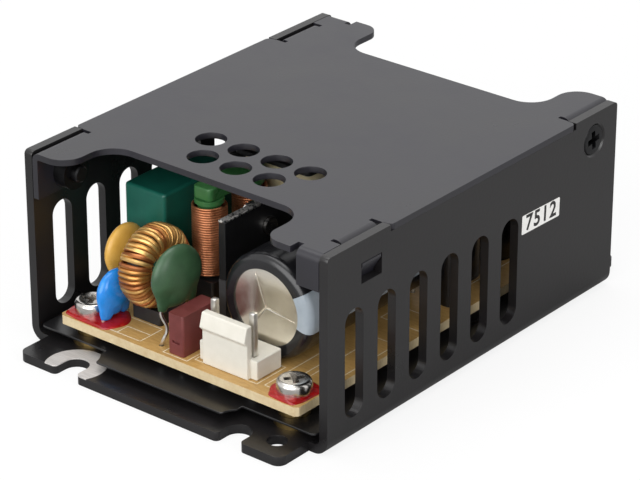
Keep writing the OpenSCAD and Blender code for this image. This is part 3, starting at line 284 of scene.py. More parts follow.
def bobbin_with_painted_shade_below():
    """Green taped bobbin, painted black below the tape as shade under the coil."""
    tape_from = 12.0 * MM
    material, tree = new_finish("bobbin_with_painted_shade_below")
    where = place_of(tree)
    height = add(tree, "SeparateXYZ", {0: where}).outputs["Z"]
    upper = calc(tree, "GREATER_THAN", height, tape_from)
    drift = noise(tree, where, 2.0)
    tape = ramp(tree, drift, (0.3, linear("#326738")), (0.7, linear("#3e7541")))
    # painted shade: below the tape the bobbin is coloured black for the shade under the coil
    moulding = ramp(tree, drift, (0.3, linear("#151516")), (0.7, linear("#1c1c1e")))
    close_finish(tree, add(tree, "BsdfPrincipled", {
        "Base Color": blend(tree, upper, moulding, tape), "Roughness": 0.34, "IOR": 1.5,
        "Normal": bumped(tree, noise(tree, where, 0.4), 0.006)}).outputs[0])
    return material


def gold_strand_finish():
    """Enamelled wire: each strand of the ring has its own tone between red and pale gold."""
    material, tree = new_finish("gold_enamelled_wire")
    where = place_of(tree)
    centred = add(tree, "VectorMath", {0: where, 1: tuple(middle("choke_winding"))},
                  operation="SUBTRACT").outputs[0]
    split = add(tree, "SeparateXYZ", {0: centred})
    angle = calc(tree, "ARCTAN2", split.outputs["Z"], split.outputs["Y"])
    strand = calc(tree, "ROUND", calc(tree, "MULTIPLY", angle, CHOKE_TURNS / (2 * math.pi)))
    own = add(tree, "TexWhiteNoise", {"W": strand}, noise_dimensions="1D").outputs["Value"]
    tone = ramp(tree, own, (0.0, linear("#a9683c")), (0.35, linear("#c08a4a")), (0.9, linear("#dfb873")))
    close_finish(tree, add(tree, "BsdfPrincipled", {
        "Base Color": tone, "Roughness": 0.32, "Metallic": 0.7,
        "Normal": bumped(tree, noise(tree, where, 0.5), 0.003)}).outputs[0])
    return material


# after each finish's name: dark and light tone, patch, roughness, grain and the depth of the grain
FINISHES = {
    "painted_sheet": painted_chassis(),
    # painted sheen: the cover has the chassis's black paint, coloured lighter and bluer for the top light's
    # sheen
    "cover_sheet": plain_finish("black_cover_paint_painted_sheen", "#1f1e23", "#25242b", 14.0, 0.32, 0.5, 0.008,
                                ior=1.52),
    "steel": plain_finish("zinc_plated_steel", "#a5a29c", "#c4c1bb", 1.6, 0.34, 0.2, 0.006, metallic=1.0),
    "black_screw": plain_finish("black_oxide_steel", "#121213", "#19191b", 1.2, 0.34, 0.15, 0.006,
                                metallic=0.6),
    "nickel": plain_finish("nickel_plated_steel", "#c3bfba", "#d9d6d2", 1.4, 0.2, 0.18, 0.004,
                           metallic=1.0),
    # painted shade: the standoffs' brass is coloured darker than it is, for the shade under the board
    "brass": plain_finish("turned_brass_painted_shade", "#7d6840", "#907a4c", 1.5, 0.34, 0.2, 0.006, metallic=1.0),
    "black_film": plain_finish("smooth_black_film", "#131314", "#18181a", 12.0, 0.3, 0.8, 0.006, ior=1.58),
    "laminate": board_laminate(),
    "red_varnish": plain_finish("thread_lock_varnish", "#8c0e11", "#aa1b1b", 1.2, 0.14, 0.9, 0.03, ior=1.5),
    "paper_label": plain_finish("coated_label_paper", "#f4f2ee", "#faf9f6", 2.5, 0.5, 0.15, 0.003,
                                ior=1.45),
    "ivory_nylon": plain_finish("ivory_nylon", "#d9d5c9", "#dfdbd0", 2.0, 0.38, 0.35, 0.006, ior=1.53),
    "tinned": plain_finish("tinned_copper", "#cbc8c1", "#dddad4", 1.2, 0.34, 0.5, 0.002, metallic=1.0),
    "maroon_plastic": plain_finish("maroon_thermoplastic", "#632a27", "#6f3230", 1.8, 0.5, 0.12, 0.012,
                                   ior=1.5),
    "blue_coat": plain_finish("dipped_blue_resin", "#1d7fd6", "#2890ea", 2.0, 0.2, 0.7, 0.02, ior=1.52),
    "green_coat": plain_finish("dipped_green_resin", "#324f36", "#3b5c3e", 2.2, 0.36, 0.6, 0.015, ior=1.52),
    "ochre_coat": plain_finish("dipped_ochre_resin", "#dca848", "#eab858", 2.2, 0.3, 0.6, 0.015, ior=1.52),
    "black_plastic": plain_finish("filled_black_moulding", "#161617", "#1d1d1f", 1.5, 0.5, 0.14, 0.01,
                                  ior=1.5),
    "ferrite": plain_finish("sintered_ferrite", "#1d1d1f", "#29292b", 1.3, 0.5, 0.2, 0.012, ior=1.8),
    "enamelled_wire": gold_strand_finish(),
    "copper_wire": plain_finish("copper_enamelled_wire", "#b06f4a", "#cc8a62", 1.6, 0.32, 0.5, 0.003,
                                metallic=0.75),
    "teal_case": plain_finish("teal_thermoplastic", "#14594c", "#196354", 3.0, 0.34, 0.25, 0.006, ior=1.5),
    "green_plastic": plain_finish("green_tape", "#326738", "#3e7541", 2.0, 0.3, 0.4, 0.006, ior=1.5),
    "aluminium": plain_finish("drawn_aluminium", "#ece6da", "#f8f3e8", 1.6, 0.22, 0.3, 0.004, metallic=1.0),
    "black_sleeve": plain_finish("shrunk_black_film_upright", "#131315", "#1a1a1d", 3.0, 0.22, 0.9, 0.01,
                                 ior=1.54),
    "black_anodised": plain_finish("black_anodised_aluminium", "#141415", "#1b1b1d", 2.0, 0.42, 0.25, 0.006,
                                   metallic=0.3),
    "cream_tape": plain_finish("polyester_tape", "#d7c9a0", "#e0d4b0", 3.0, 0.32, 0.5, 0.006, ior=1.6),
    "solder": plain_finish("tin_solder", "#a9aaab", "#c3c4c5", 0.8, 0.24, 0.2, 0.006, metallic=1.0),
    "blue_plastic": plain_finish("blue_thermoplastic", "#2458a8", "#2b63b5", 1.4, 0.4, 0.2, 0.006, ior=1.5),
}

SLOT_OF = {
    "chassis": "painted_sheet", "cover": "cover_sheet", "clinch_nuts": "black_screw",
    "cover_screws": "black_screw", "standoffs": "brass", "insulating_sheet": "black_film",
    "circuit_board": "laminate", "board_screws": "nickel", "screw_varnish": "red_varnish",
    "side_label": "paper_label", "ac_header": "ivory_nylon", "dc_header": "ivory_nylon",
    "ac_header_pins": "tinned", "dc_header_pins": "tinned", "component_leads": "tinned",
    "fuse": "maroon_plastic", "front_capacitor": "blue_coat", "bridging_capacitor": "blue_coat",
    "thermistor": "green_coat", "varistor": "ochre_coat", "choke_base": "black_plastic",
    "power_transistor": "black_plastic", "bridge_rectifier": "black_plastic",
    "transformer_bobbin": "black_plastic", "output_rectifier": "black_plastic",
    "optocouplers": "black_plastic", "controller_chip": "black_plastic",
    "choke_core": "ferrite", "filter_core": "ferrite", "transformer_core": "ferrite",
    "output_choke_core": "ferrite", "choke_winding": "enamelled_wire",
    "x_capacitor": "teal_case", "filter_bobbin": "green_plastic", "filter_tape": "green_plastic",
    "filter_winding": "copper_wire", "output_choke_winding": "copper_wire",
    "bulk_capacitor_can": "aluminium", "small_capacitor_can": "aluminium",
    "output_capacitor_cans": "aluminium", "bulk_capacitor_sleeve": "black_sleeve",
    "small_capacitor_sleeve": "black_sleeve", "output_capacitor_sleeves": "black_sleeve",
    "primary_heatsink": "black_anodised", "rectifier_heatsink": "black_anodised",
    "heatsink_feet": "steel", "package_screws": "nickel", "transformer_winding": "cream_tape",
    "trimmer": "blue_plastic", "solder_joints": "solder",
}

for node, slot in SLOT_OF.items():
    for holder in NODES[node].material_slots:
        holder.material = FINISHES[slot]


# ---------------------------------------------------------------- modelling helpers

def only(piece):
    """Leaves one piece selected and active, in object mode."""
    if bpy.context.object and bpy.context.object.mode != "OBJECT":
        bpy.ops.object.mode_set(mode="OBJECT")
    bpy.ops.object.select_all(action="DESELECT")
    if piece:
        piece.select_set(True)
        bpy.context.view_layer.objects.active = piece


def start(name, primitive, **settings):
    """Adds a primitive to shape into the named piece, with its place and turn in its mesh."""
    only(None)
    primitive(**settings)
    bpy.ops.object.transform_apply(location=True, rotation=True, scale=True)
    piece = bpy.context.object
    piece.name = name
    piece.data.name = name
    return piece


def pick(piece, kind, test):
    """Selects the points, edges or faces of a mesh whose place and normal pass a test."""
    only(piece)
    mesh = piece.data
    bpy.ops.object.mode_set(mode="EDIT")
    bpy.ops.mesh.select_mode(type=kind)
    bpy.ops.mesh.select_all(action="DESELECT")
    bpy.ops.object.mode_set(mode="OBJECT")
    if kind == "FACE":
        for face in mesh.polygons:
            face.select = test(face.center, face.normal)
    elif kind == "EDGE":
        for edge in mesh.edges:
            a, b = (mesh.vertices[i].co for i in edge.vertices)
            edge.select = test((a + b) / 2, (b - a).normalized())
    else:
        for point in mesh.vertices:
            point.select = test(point.co, point.normal)
    bpy.ops.object.mode_set(mode="EDIT")


def move(x, y, z):
    """Moves what is selected, in millimetres."""
    bpy.ops.transform.translate(value=(x * MM, y * MM, z * MM))


def modified(piece, kind, **settings):
    """Puts a modifier on a piece and applies it."""
    only(piece)
    modifier = piece.modifiers.new(kind.lower(), kind)
    for name, value in settings.items():
        setattr(modifier, name, value)
    bpy.ops.object.modifier_apply(modifier=modifier.name)


def copied(piece, matrix):
    """A copy of a piece with its own mesh, turned or moved by a matrix."""
    twin = piece.copy()
    twin.data = piece.data.copy()
    bpy.context.scene.collection.objects.link(twin)
    twin.data.transform(matrix)
    return twin


def joined(name, pieces):
    """Joins pieces into the first of them."""
    only(pieces[0])
    for piece in pieces:
        piece.select_set(True)
    bpy.ops.object.join()
    pieces[0].name = name
    pieces[0].data.name = name
    return pieces[0]


def settle(piece, slot, *nodes, smooth=40, finish=None, weighted=False):
    """Puts a finished piece at the origin with its finish, and lets it stand for CAD nodes."""
    only(piece)
    bpy.ops.object.transform_apply(location=True, rotation=True, scale=True)
    bpy.ops.object.shade_smooth_by_angle(angle=math.radians(smooth))
    if weighted:
        modified(piece, "WEIGHTED_NORMAL", weight=80, keep_sharp=True)
    piece.data.materials.clear()
    piece.data.materials.append(finish or FINISHES[slot])
    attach(piece, "root")
    if nodes:
        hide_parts(*nodes)
    return piece


def welded(node, name):
    """A copy of a CAD piece whose faces share their points, left in edit mode."""
    piece = bpy.data.objects.new(name, NODES[node].data.copy())
    bpy.context.scene.collection.objects.link(piece)
    only(piece)
    bpy.ops.mesh.customdata_custom_splitnormals_clear()
    bpy.ops.object.mode_set(mode="EDIT")
    bpy.ops.mesh.select_all(action="SELECT")
    bpy.ops.mesh.remove_doubles(threshold=2e-6)
    return piece


def softened(node, radius, segments):
    """A CAD piece with its edges rounded, as paint, moulding or stamping leaves them."""
    piece = welded(node, node + "_finished")
    bpy.ops.mesh.dissolve_limited(angle_limit=math.radians(0.6))
    bpy.ops.mesh.select_mode(type="EDGE")
    bpy.ops.mesh.select_all(action="DESELECT")
    bpy.ops.mesh.edges_select_sharp(sharpness=math.radians(38))
    bpy.ops.mesh.bevel(offset=radius * MM, segments=segments, profile=0.5, clamp_overlap=True)
    return settle(piece, SLOT_OF[node], node, smooth=35, weighted=True)


def wire(name, points, thickness):
    """A round wire of eight sides through points, in millimetres, with smooth bends."""
    only(None)
    bpy.ops.curve.primitive_bezier_curve_add()
    line = bpy.context.object
    line.name = name
    spline = line.data.splines[0]
    spline.bezier_points.add(len(points) - 2)
    for knot, point in zip(spline.bezier_points, points):
        knot.co = Vector(point) * MM
        knot.handle_left_type = knot.handle_right_type = "AUTO"
    line.data.bevel_depth = thickness / 2 * MM
    line.data.bevel_resolution = 2
    line.data.resolution_u = 8
    line.data.use_fill_caps = True
    bpy.ops.object.convert(target="MESH")
    return bpy.context.object


# ---------------------------------------------------------------- pieces

# node, radius of its edges in millimetres, segments
for node, radius, segments in (
        ("chassis", 0.16, 2), ("cover", 0.16, 2), ("ac_header", 0.28, 3), ("dc_header", 0.28, 3),
        ("fuse", 0.3, 2), ("x_capacitor", 0.7, 3), ("primary_heatsink", 0.12, 1),
        ("rectifier_heatsink", 0.12, 1), ("choke_base", 0.25, 2), ("filter_tape", 0.4, 3),
        ("filter_bobbin", 0.15, 1), ("transformer_bobbin", 0.2, 2), ("transformer_core", 0.3, 2),
        ("transformer_winding", 0.2, 2), ("bridge_rectifier", 0.25, 2), ("power_transistor", 0.2, 2),
        ("output_rectifier", 0.2, 2), ("optocouplers", 0.15, 1), ("trimmer", 0.15, 1),
        ("controller_chip", 0.08, 1), ("circuit_board", 0.08, 1), ("ac_header_pins", 0.3, 2),
        ("dc_header_pins", 0.3, 2), ("insulating_sheet", 0.1, 1)):
    softened(node, radius, segments)


# ---- windings

def ring_loop(name, wide, bore, reach, thickness):
    """A closed loop of round wire in the XZ plane, round a section of that width and height."""
    corner = min((reach - bore) / 2, wide / 2)
    loop = start(name, bpy.ops.mesh.primitive_torus_add, major_radius=corner * MM,
                 minor_radius=thickness / 2 * MM, major_segments=20, minor_segments=8,
                 rotation=(math.pi / 2, 0, 0))
    for way in (-1, 1):
        pick(loop, "VERT", lambda co, normal: co.x * way > 1e-6)
        move(way * (wide / 2 - corner), 0, 0)
    only(loop)
    return loop


def strand_ring(name, node, turns, wire_d):
    """Turns of enamelled wire laid side by side in pairs round a ring core lying across X."""
    low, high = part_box(node)
    # these turns stand a little proud of the solid ones
    lift, proud, wider, bore_share = 0.3, 0.45, 1.1, 0.4
    centre = (low + high) / 2 + Vector((0, 0, lift * MM))
    outer = (high.z - low.z) / 2 / MM + proud
    wide = (high.x - low.x) / MM + wider
    reach, bore = outer - wire_d / 2, outer * bore_share
    loop = ring_loop(name, wide - wire_d, bore, reach, wire_d)
    rng = random.Random(7)
    strands = []
    for i in range(turns):
        pair_shift = (0.04 if i % 2 else -0.04) + rng.uniform(-0.08, 0.08)
        lean = Matrix.Rotation(math.radians(6 + rng.uniform(-3.0, 3.0)), 4, "Z")
        out = Matrix.Translation((0, 0, ((reach + bore) / 2 - rng.uniform(0.0, 0.12)) * MM))
        round_ring = Matrix.Rotation((i + pair_shift) / turns * 2 * math.pi, 4, "X")
        strands.append(copied(loop, Matrix.Translation(centre) @ round_ring @ out @ lean))
    bpy.data.objects.remove(loop)
    return joined(name, strands)


def helix(name, centre, coil_d, wire_d, height, base, steps):
    """Close turns of wire up a former at (x, y), from the height base, in millimetres."""
    pitch = wire_d * 1.04
    turns = int((height - wire_d) / pitch)
    ring = start(name, bpy.ops.mesh.primitive_circle_add, vertices=8, radius=wire_d / 2 * MM,
                 rotation=(math.pi / 2, 0, 0))
    pick(ring, "VERT", lambda co, normal: True)
    move((coil_d - wire_d) / 2, 0, wire_d / 2)
    only(ring)
    modified(ring, "SCREW", axis="Z", angle=2 * math.pi, screw_offset=pitch * MM, iterations=turns,
             steps=steps, render_steps=steps, use_normal_calculate=True)
    bpy.ops.object.mode_set(mode="EDIT")
    bpy.ops.mesh.select_all(action="SELECT")
    bpy.ops.mesh.fill_holes(sides=9)
    bpy.ops.mesh.select_all(action="SELECT")
    bpy.ops.mesh.normals_make_consistent(inside=False)
    bpy.ops.object.mode_set(mode="OBJECT")
    ring.data.transform(Matrix.Translation((centre[0] * MM, centre[1] * MM, base * MM)))
    return ring


def ring_core(core_r, band_r, stretch):
    """The choke's ring core: a torus lying across X, drawn out to a flat-sided band."""
    core = start("ring_core", bpy.ops.mesh.primitive_torus_add, major_radius=core_r * MM,
                 minor_radius=band_r * MM, major_segments=48, minor_segments=16,
                 rotation=(0, math.pi / 2, 0))
    for way in (-1, 1):
        pick(core, "VERT", lambda co, normal: co.x * way > 1e-6)
        move(way * stretch, 0, 0)
    only(core)
    core.data.transform(Matrix.Translation(middle("choke_winding")))
    return core


def filter_coils(wire_d):
    """The filter's two windings, one at each end of the node's box."""
    low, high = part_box("filter_winding")
    coil_d = (high.x - low.x) / MM
    x = middle("filter_winding").x / MM
    return joined("filter_coils", [
        helix("filter_coil", (x, y), coil_d, wire_d, (high.z - low.z) / MM, low.z / MM, steps=28)
        for y in (low.y / MM + coil_d / 2, high.y / MM - coil_d / 2)])


def rod_choke_coil(wire_d):
    """The output choke's single layer of thick wire."""
    low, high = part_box("output_choke_winding")
    x, y, _ = middle("output_choke_winding") / MM
    return helix("rod_choke_coil", (x, y), (high.x - low.x) / MM, wire_d, (high.z - low.z) / MM,
                 low.z / MM, steps=32)


settle(strand_ring("gold_strands", "choke_winding", CHOKE_TURNS, wire_d=0.82),
       "enamelled_wire", "choke_winding")
settle(ring_core(core_r=4.95, band_r=0.95, stretch=0.5), "ferrite", "choke_core", smooth=60)
settle(filter_coils(wire_d=0.42), "copper_wire", "filter_winding", smooth=180)
settle(rod_choke_coil(wire_d=0.9), "copper_wire", "output_choke_winding", smooth=180)


# ---- dipped discs

def dipped_disc(node, disc_d, thick, gap, turn=0.0, spread=1.0, narrow=0.6):
    """A disc dipped in resin whose coat runs down its two legs. Millimetres and degrees."""
    low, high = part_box(node)
    centre = Vector(((low.x + high.x) / 2, (low.y + high.y) / 2, high.z - disc_d / 2 * MM))
    foot = (centre.z - low.z) / MM
    disc = start(node + "_dipped", bpy.ops.mesh.primitive_uv_sphere_add, segments=20, ring_count=14,
                 radius=disc_d / 2 * MM)
    pick(disc, "VERT", lambda co, normal: True)
    bpy.ops.transform.resize(value=(thick / disc_d, 1, 1), center_override=(0, 0, 0))
    rim = disc_d / 2
    side = min(gap / 2, rim * 0.8)
    depth = math.sqrt(rim ** 2 - side ** 2)
    leg_reach = 0.26 * disc_d * spread * MM
    run = foot - depth
    for way in (-1, 1):
        at = Vector((0, way * side, -depth)) * MM
        sideways = way * gap / 2 * MM - at.y
        pick(disc, "FACE", lambda c, n: (Vector((0, c.y, c.z)) - at).length < leg_reach)
        # share of the run that each step takes, and how much it narrows the coat
        for share, squeeze in ((0.25, narrow), (0.35, 0.85), (0.4, 0.75)):
            step = Vector((0, sideways * share, -run * share * MM))
            bpy.ops.mesh.extrude_region_move(TRANSFORM_OT_translate={"value": step})
            at = at + step
            bpy.ops.transform.resize(value=(squeeze, squeeze, 0.55), center_override=at)
    only(disc)
    modified(disc, "SUBSURF", levels=2, render_levels=2)
    disc.data.transform(Matrix.Translation(centre) @ Matrix.Rotation(math.radians(turn), 4, "Z"))
    return settle(disc, SLOT_OF[node], node, smooth=180)


dipped_disc("front_capacitor", disc_d=8.0, thick=3.3, gap=5.6, spread=1.25, narrow=0.66)
dipped_disc("bridging_capacitor", disc_d=8.0, thick=3.0, gap=5.0)
dipped_disc("varistor", disc_d=9.2, thick=3.6, gap=5.0)
dipped_disc("thermistor", disc_d=10.6, thick=3.9, gap=THERMISTOR_GAP, turn=THERMISTOR_TURN,
            spread=0.95, narrow=0.5)


# ---- main capacitor

def vent_plates():
    """Three pressed sectors of the can's end, apart by the score that opens under pressure."""
    radius, thick, half_score = 6.62, 0.22, 0.07
    first_arm, bulge = 352, 2.2
    low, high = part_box("bulk_capacitor_can")
    at = Vector(((low.x + high.x) / 2, low.y, (low.z + high.z) / 2))
    sectors = []
    for arm in ((first_arm + 120 * i) % 360 for i in range(3)):
        plate = start("vent_sector", bpy.ops.mesh.primitive_cylinder_add, vertices=96,
                      radius=radius * MM, depth=thick * MM, end_fill_type="NGON",
                      rotation=(math.pi / 2, 0, 0))
        bpy.ops.object.mode_set(mode="EDIT")
        for angle, way in ((arm, 1), (arm + 120, -1)):
            run = Vector((math.cos(math.radians(angle)), 0, math.sin(math.radians(angle))))
            across = Vector((-run.z, 0, run.x)) * way
            bpy.ops.mesh.select_all(action="SELECT")
            bpy.ops.mesh.bisect(plane_co=across * half_score * MM, plane_no=across, use_fill=True,
                                clear_inner=True, clear_outer=False)
        bpy.ops.mesh.select_all(action="SELECT")
        bpy.ops.mesh.normals_make_consistent(inside=False)
        # the scored edges of the outer face roll over widely, its rim only a little
        pick(plate, "EDGE", lambda m, d: m.y < -0.1 * MM and math.hypot(m.x, m.z) < 6.45 * MM)
        bpy.ops.mesh.bevel(offset=0.5 * MM, segments=4, profile=0.5, clamp_overlap=True)
        pick(plate, "EDGE", lambda m, d: m.y < -0.1 * MM and math.hypot(m.x, m.z) > 6.5 * MM)
        bpy.ops.mesh.bevel(offset=0.1 * MM, segments=2, profile=0.5, clamp_overlap=True)
        only(plate)
        # each sector bellies out a little, so it leans its own way
        half = math.radians(arm + 60)
        hinge = Vector((-math.sin(half), 0, math.cos(half)))
        plate.data.transform(Matrix.Rotation(math.radians(bulge), 4, hinge))
        sectors.append(plate)
    plates = joined("can_vent_plates", sectors)
    plates.data.transform(Matrix.Translation(at + Vector((0, 0.02 * MM, 0))))
    return settle(plates, "aluminium", smooth=50, weighted=True)


vent_plates()


# ---- fixings

def cross_cutter(span, arm, depth, at):
    """A tapered cross that a driver recess is cut with, its mouth facing up."""
    arms = []
    for turn in (0, math.pi / 2):
        bar = start("recess_arm", bpy.ops.mesh.primitive_cube_add, size=1, location=(0, 0, 0),
                    scale=(span * MM, arm * MM, depth * 2 * MM), rotation=(0, 0, turn))
        pick(bar, "FACE", lambda c, n: n.z < -0.5)
        bpy.ops.transform.resize(value=(0.6, 0.6, 1), center_override=(0, 0, -depth * MM))
        only(bar)
        arms.append(bar)
    modified(arms[0], "BOOLEAN", operation="UNION", object=arms[1], solver="EXACT")
    bpy.data.objects.remove(arms[1])
    arms[0].data.transform(Matrix.Translation((0, 0, at * MM)))
    return arms[0]


def driven_head(name, head_d, height, dome, recess, arm, depth):
    """A screw head with a rounded crown and a cross recess, standing on z = 0."""
    head = start(name, bpy.ops.mesh.primitive_cylinder_add, vertices=56, radius=head_d / 2 * MM,
                 depth=height * MM, location=(0, 0, height / 2 * MM))
    pick(head, "EDGE", lambda m, d: m.z > (height - 0.01) * MM)
    bpy.ops.mesh.bevel(offset=dome * MM, segments=6, profile=0.5)
    pick(head, "EDGE", lambda m, d: m.z < 0.01 * MM)
    bpy.ops.mesh.bevel(offset=0.12 * MM, segments=2, profile=0.5)
    cutter = cross_cutter(recess, arm, depth, height)
    modified(head, "BOOLEAN", operation="DIFFERENCE", object=cutter, solver="EXACT")
    bpy.data.objects.remove(cutter)
    return head


def screw_shank(name, shank_d, length, taper, place, rotation, at_tip):
    """A plain shank whose tip, found by a test of its edges, is cut to a taper. Its diameter and
    taper are in millimetres, its length and place in metres."""
    shank = start(name, bpy.ops.mesh.primitive_cylinder_add, vertices=24, radius=shank_d / 2 * MM,
                  depth=length, location=place, rotation=rotation)
    pick(shank, "EDGE", at_tip)
    bpy.ops.mesh.bevel(offset=taper * MM, segments=1)
    only(shank)
    return shank


def board_screw_set(head_d, corners, tip):
    """Four pan head screws down through the board to the height of their tip, in metres."""
    head = driven_head("board_screw_heads", head_d, height=2.5, dome=0.8, recess=4.2, arm=1.2, depth=1.8)
    turns = (0.5, 0.2, 0.9, 1.3)
    heads = [copied(head, Matrix.Translation((x, y, BOARD_TOP)) @ Matrix.Rotation(turn, 4, "Z"))
             for (x, y), turn in zip(corners, turns)]
    bpy.data.objects.remove(head)
    shanks = [screw_shank("screw_shank", 2.5, BOARD_TOP - tip, 0.3, (x, y, (BOARD_TOP + tip) / 2),
                          (0, 0, 0), lambda m, d: m.z < tip + 0.01 * MM)
              for x, y in corners]
    return joined("board_screw_set", heads + shanks)


def cover_screw_set(head_d, thick):
    """The cover's two screws, in at the sides, their heads sunk a little into the flanges."""
    sunk, solid_head_d = 0.12, 5.9
    # the shank starts just inside the head; both are depths under the head's face
    root = thick - 0.1
    tip = root + 5.2
    low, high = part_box("cover_screws")
    z = (low.z + high.z) / 2
    edge = solid_head_d / 2 * MM
    head = driven_head("cover_screw_heads", head_d, thick, dome=0.35, recess=4.0, arm=1.25, depth=1.1)
    screws = []
    for way, y in ((1, high.y - edge), (-1, low.y + edge)):
        face = (high.x if way > 0 else -low.x) - sunk * MM
        turn = Matrix.Rotation(way * math.pi / 2, 4, "Y") @ Matrix.Rotation(0.12, 4, "Z")
        screws.append(copied(head, Matrix.Translation((way * (face - thick * MM), y, z)) @ turn))
        screws.append(screw_shank("cover_screw_shank", 2.9, (tip - root) * MM, 0.25,
                                  (way * (face - (root + tip) / 2 * MM), y, z), (0, math.pi / 2, 0),
                                  lambda m, d: abs(m.x) < face - (tip - 0.3) * MM))
    bpy.data.objects.remove(head)
    return joined("cover_screw_set", screws)


screw_head_d = 5.8
inset = screw_head_d / 2 * MM
low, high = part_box("board_screws")
corners = [(x, y) for x in (low.x + inset, high.x - inset) for y in (low.y + inset, high.y - inset)]
settle(board_screw_set(screw_head_d, corners, low.z), "nickel", "board_screws", smooth=30)
settle(cover_screw_set(head_d=5.3, thick=1.2), "black_screw", "cover_screws", smooth=30)


def varnish_pool(name, at, seed, wide, stretch):
    """A lumpy pool of locking varnish, flat on the board and up against the screw head."""
    thick, edge_gap, free_share = 0.7, 0.2, 0.7
    pool = start(name, bpy.ops.mesh.primitive_uv_sphere_add, segments=56, ring_count=18, radius=1)
    pick(pool, "VERT", lambda co, normal: True)
    bpy.ops.transform.resize(value=(wide / 2 * MM * stretch, wide / 2 * MM, thick * MM),
                             center_override=(0, 0, 0))
    bpy.ops.mesh.bisect(plane_co=(0, 0, 0), plane_no=(0, 0, 1), use_fill=True, clear_inner=True)
    only(pool)
    rng = random.Random(seed)
    waves = [(n, rng.uniform(0.03, 0.1) / (0.5 + n * 0.25), rng.uniform(0, 6.28)) for n in (2, 3, 4, 5, 7)]
    board_low, board_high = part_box("circuit_board")
    for point in pool.data.vertices:
        x, y, z = point.co
        angle = math.atan2(y, x)
        swell = 1 + sum(size * math.sin(n * angle + phase) for n, size, phase in waves)
        lump = 1 + 0.25 * math.sin(3.15 * x / MM + seed) * math.sin(3.2 * y / MM + seed)
        place = Vector((at[0] + x * swell, at[1] + y * swell, BOARD_TOP + z * lump))
        # towards the board's nearer edges the pool slows down and stops short of them
        for axis in (0, 1):
            room = min(board_high[axis] - at[axis], at[axis] - board_low[axis]) - edge_gap * MM
            free = free_share * room
            off = place[axis] - at[axis]
            outward = off * at[axis] > 0
            if outward and abs(off) > free:
                spare = room - free
                held = free + spare * math.tanh((abs(off) - free) / spare)
                place[axis] = at[axis] + math.copysign(held, off)
        point.co = place
    return pool


# random seed, width, stretch along X and shift along X of the pool at each corner
pools = [varnish_pool("varnish_pool", (x + shift * MM, y), seed, wide, stretch)
         for (x, y), (seed, wide, stretch, shift) in zip(corners, (
             (3, 9.6, 1.3, 1.2), (11, 8.8, 1.0, 0), (5, 8.6, 1.0, 0), (8, 8.8, 1.0, 0)))]
settle(joined("varnish_pools", pools), "red_varnish", "screw_varnish", smooth=60)


# ---- leads

def bent_leads():
    """The board's leads, with the thermistor's two long ones bent as they were fitted."""
    lead_d, cleared = 0.62, 0.7
    rest = welded("component_leads", "straight_leads")
    # the thermistor's legs, either side of its middle
    turned = Matrix.Rotation(math.radians(THERMISTOR_TURN), 3, "Z")
    feet = [(middle("thermistor") / MM + turned @ Vector((0, way * THERMISTOR_GAP / 2, 0))).to_2d()
            for way in (-1, 1)]
    pick(rest, "FACE", lambda c, n: any((c.to_2d() / MM - foot).length < cleared for foot in feet))
    bpy.ops.mesh.delete(type="FACE")
    only(rest)
    (x, y), (x2, y2) = feet
    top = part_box("thermistor")[0].z / MM
    board = BOARD_TOP / MM
    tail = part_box("component_leads")[0].z / MM
    half_way = (top + board) / 2
    near = wire("near_lead", [(x, y, top + 0.8), (x + 0.1, y, top - 0.4),
                              (x + 0.95, y + 0.35, half_way + 0.2), (x + 0.35, y - 0.1, board + 0.8),
                              (x, y, board), (x, y, tail)], lead_d)
    far = wire("far_lead", [(x2, y2, top + 0.8), (x2, y2, half_way), (x2, y2, tail)], lead_d)
    return settle(joined("bent_leads", [rest, near, far]), "tinned", "component_leads", smooth=45)


bent_leads()


# ---- label

def number_label():
    """A white label with four plain digits, stuck a little askew."""
    low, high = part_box("side_label")
    thick, wide, tall = high - low
    _, y, z = middle("side_label")
    askew = Matrix.Rotation(math.radians(-1.5), 4, "X")
    sticker = start("number_sticker", bpy.ops.mesh.primitive_cube_add, size=1,
                    scale=(thick * 0.8, wide * 0.985, tall * 0.9))
    pick(sticker, "EDGE", lambda m, d: abs(d.x) > 0.9)
    bpy.ops.mesh.bevel(offset=0.18 * MM, segments=3)
    only(sticker)
    sticker.data.transform(Matrix.Translation((low.x + thick * 0.4, y, z)) @ askew)
    settle(sticker, "paper_label", "side_label", smooth=30)

    only(None)
    bpy.ops.object.text_add()
    text = bpy.context.object.data
    text.body = "7512"
    text.align_x = "CENTER"
    text.align_y = "CENTER"
    text.size = 3.85 * MM
    text.space_character = 1.15
    text.offset = 0.09 * MM
    text.extrude = 0.008 * MM
    bpy.ops.object.convert(target="MESH")
    digits = bpy.context.object
    digits.name = "number_ink"
    upright = Matrix.Rotation(math.pi / 2, 4, "Z") @ Matrix.Rotation(math.pi / 2, 4, "X")
    digits.data.transform(Matrix.Translation((low.x + thick * 0.9, y, z)) @ askew @ upright)
    ink = plain_finish("printed_black_ink", "#1b1a1a", "#2a2828", 0.6, 0.55, 0.1, 0.002, ior=1.5)
    settle(digits, None, smooth=30, finish=ink)


number_label()

# the finishes that only one node of a slot has
NODES["bulk_capacitor_sleeve"].material_slots[0].material = sleeve_film()
bpy.data.objects["primary_heatsink_finished"].data.materials[0] = sawn_heatsink()
bpy.data.objects["filter_bobbin_finished"].data.materials[0] = bobbin_with_painted_shade_below()
# the heatsink feet's tinned steel is given a darker tone than the other steel
NODES["heatsink_feet"].material_slots[0].material = plain_finish(
    "darker_tinned_steel", "#47484b", "#5a5b5e", 1.2, 0.5, 0.2, 0.006, metallic=0.7)


# ---------------------------------------------------------------- studio and camera

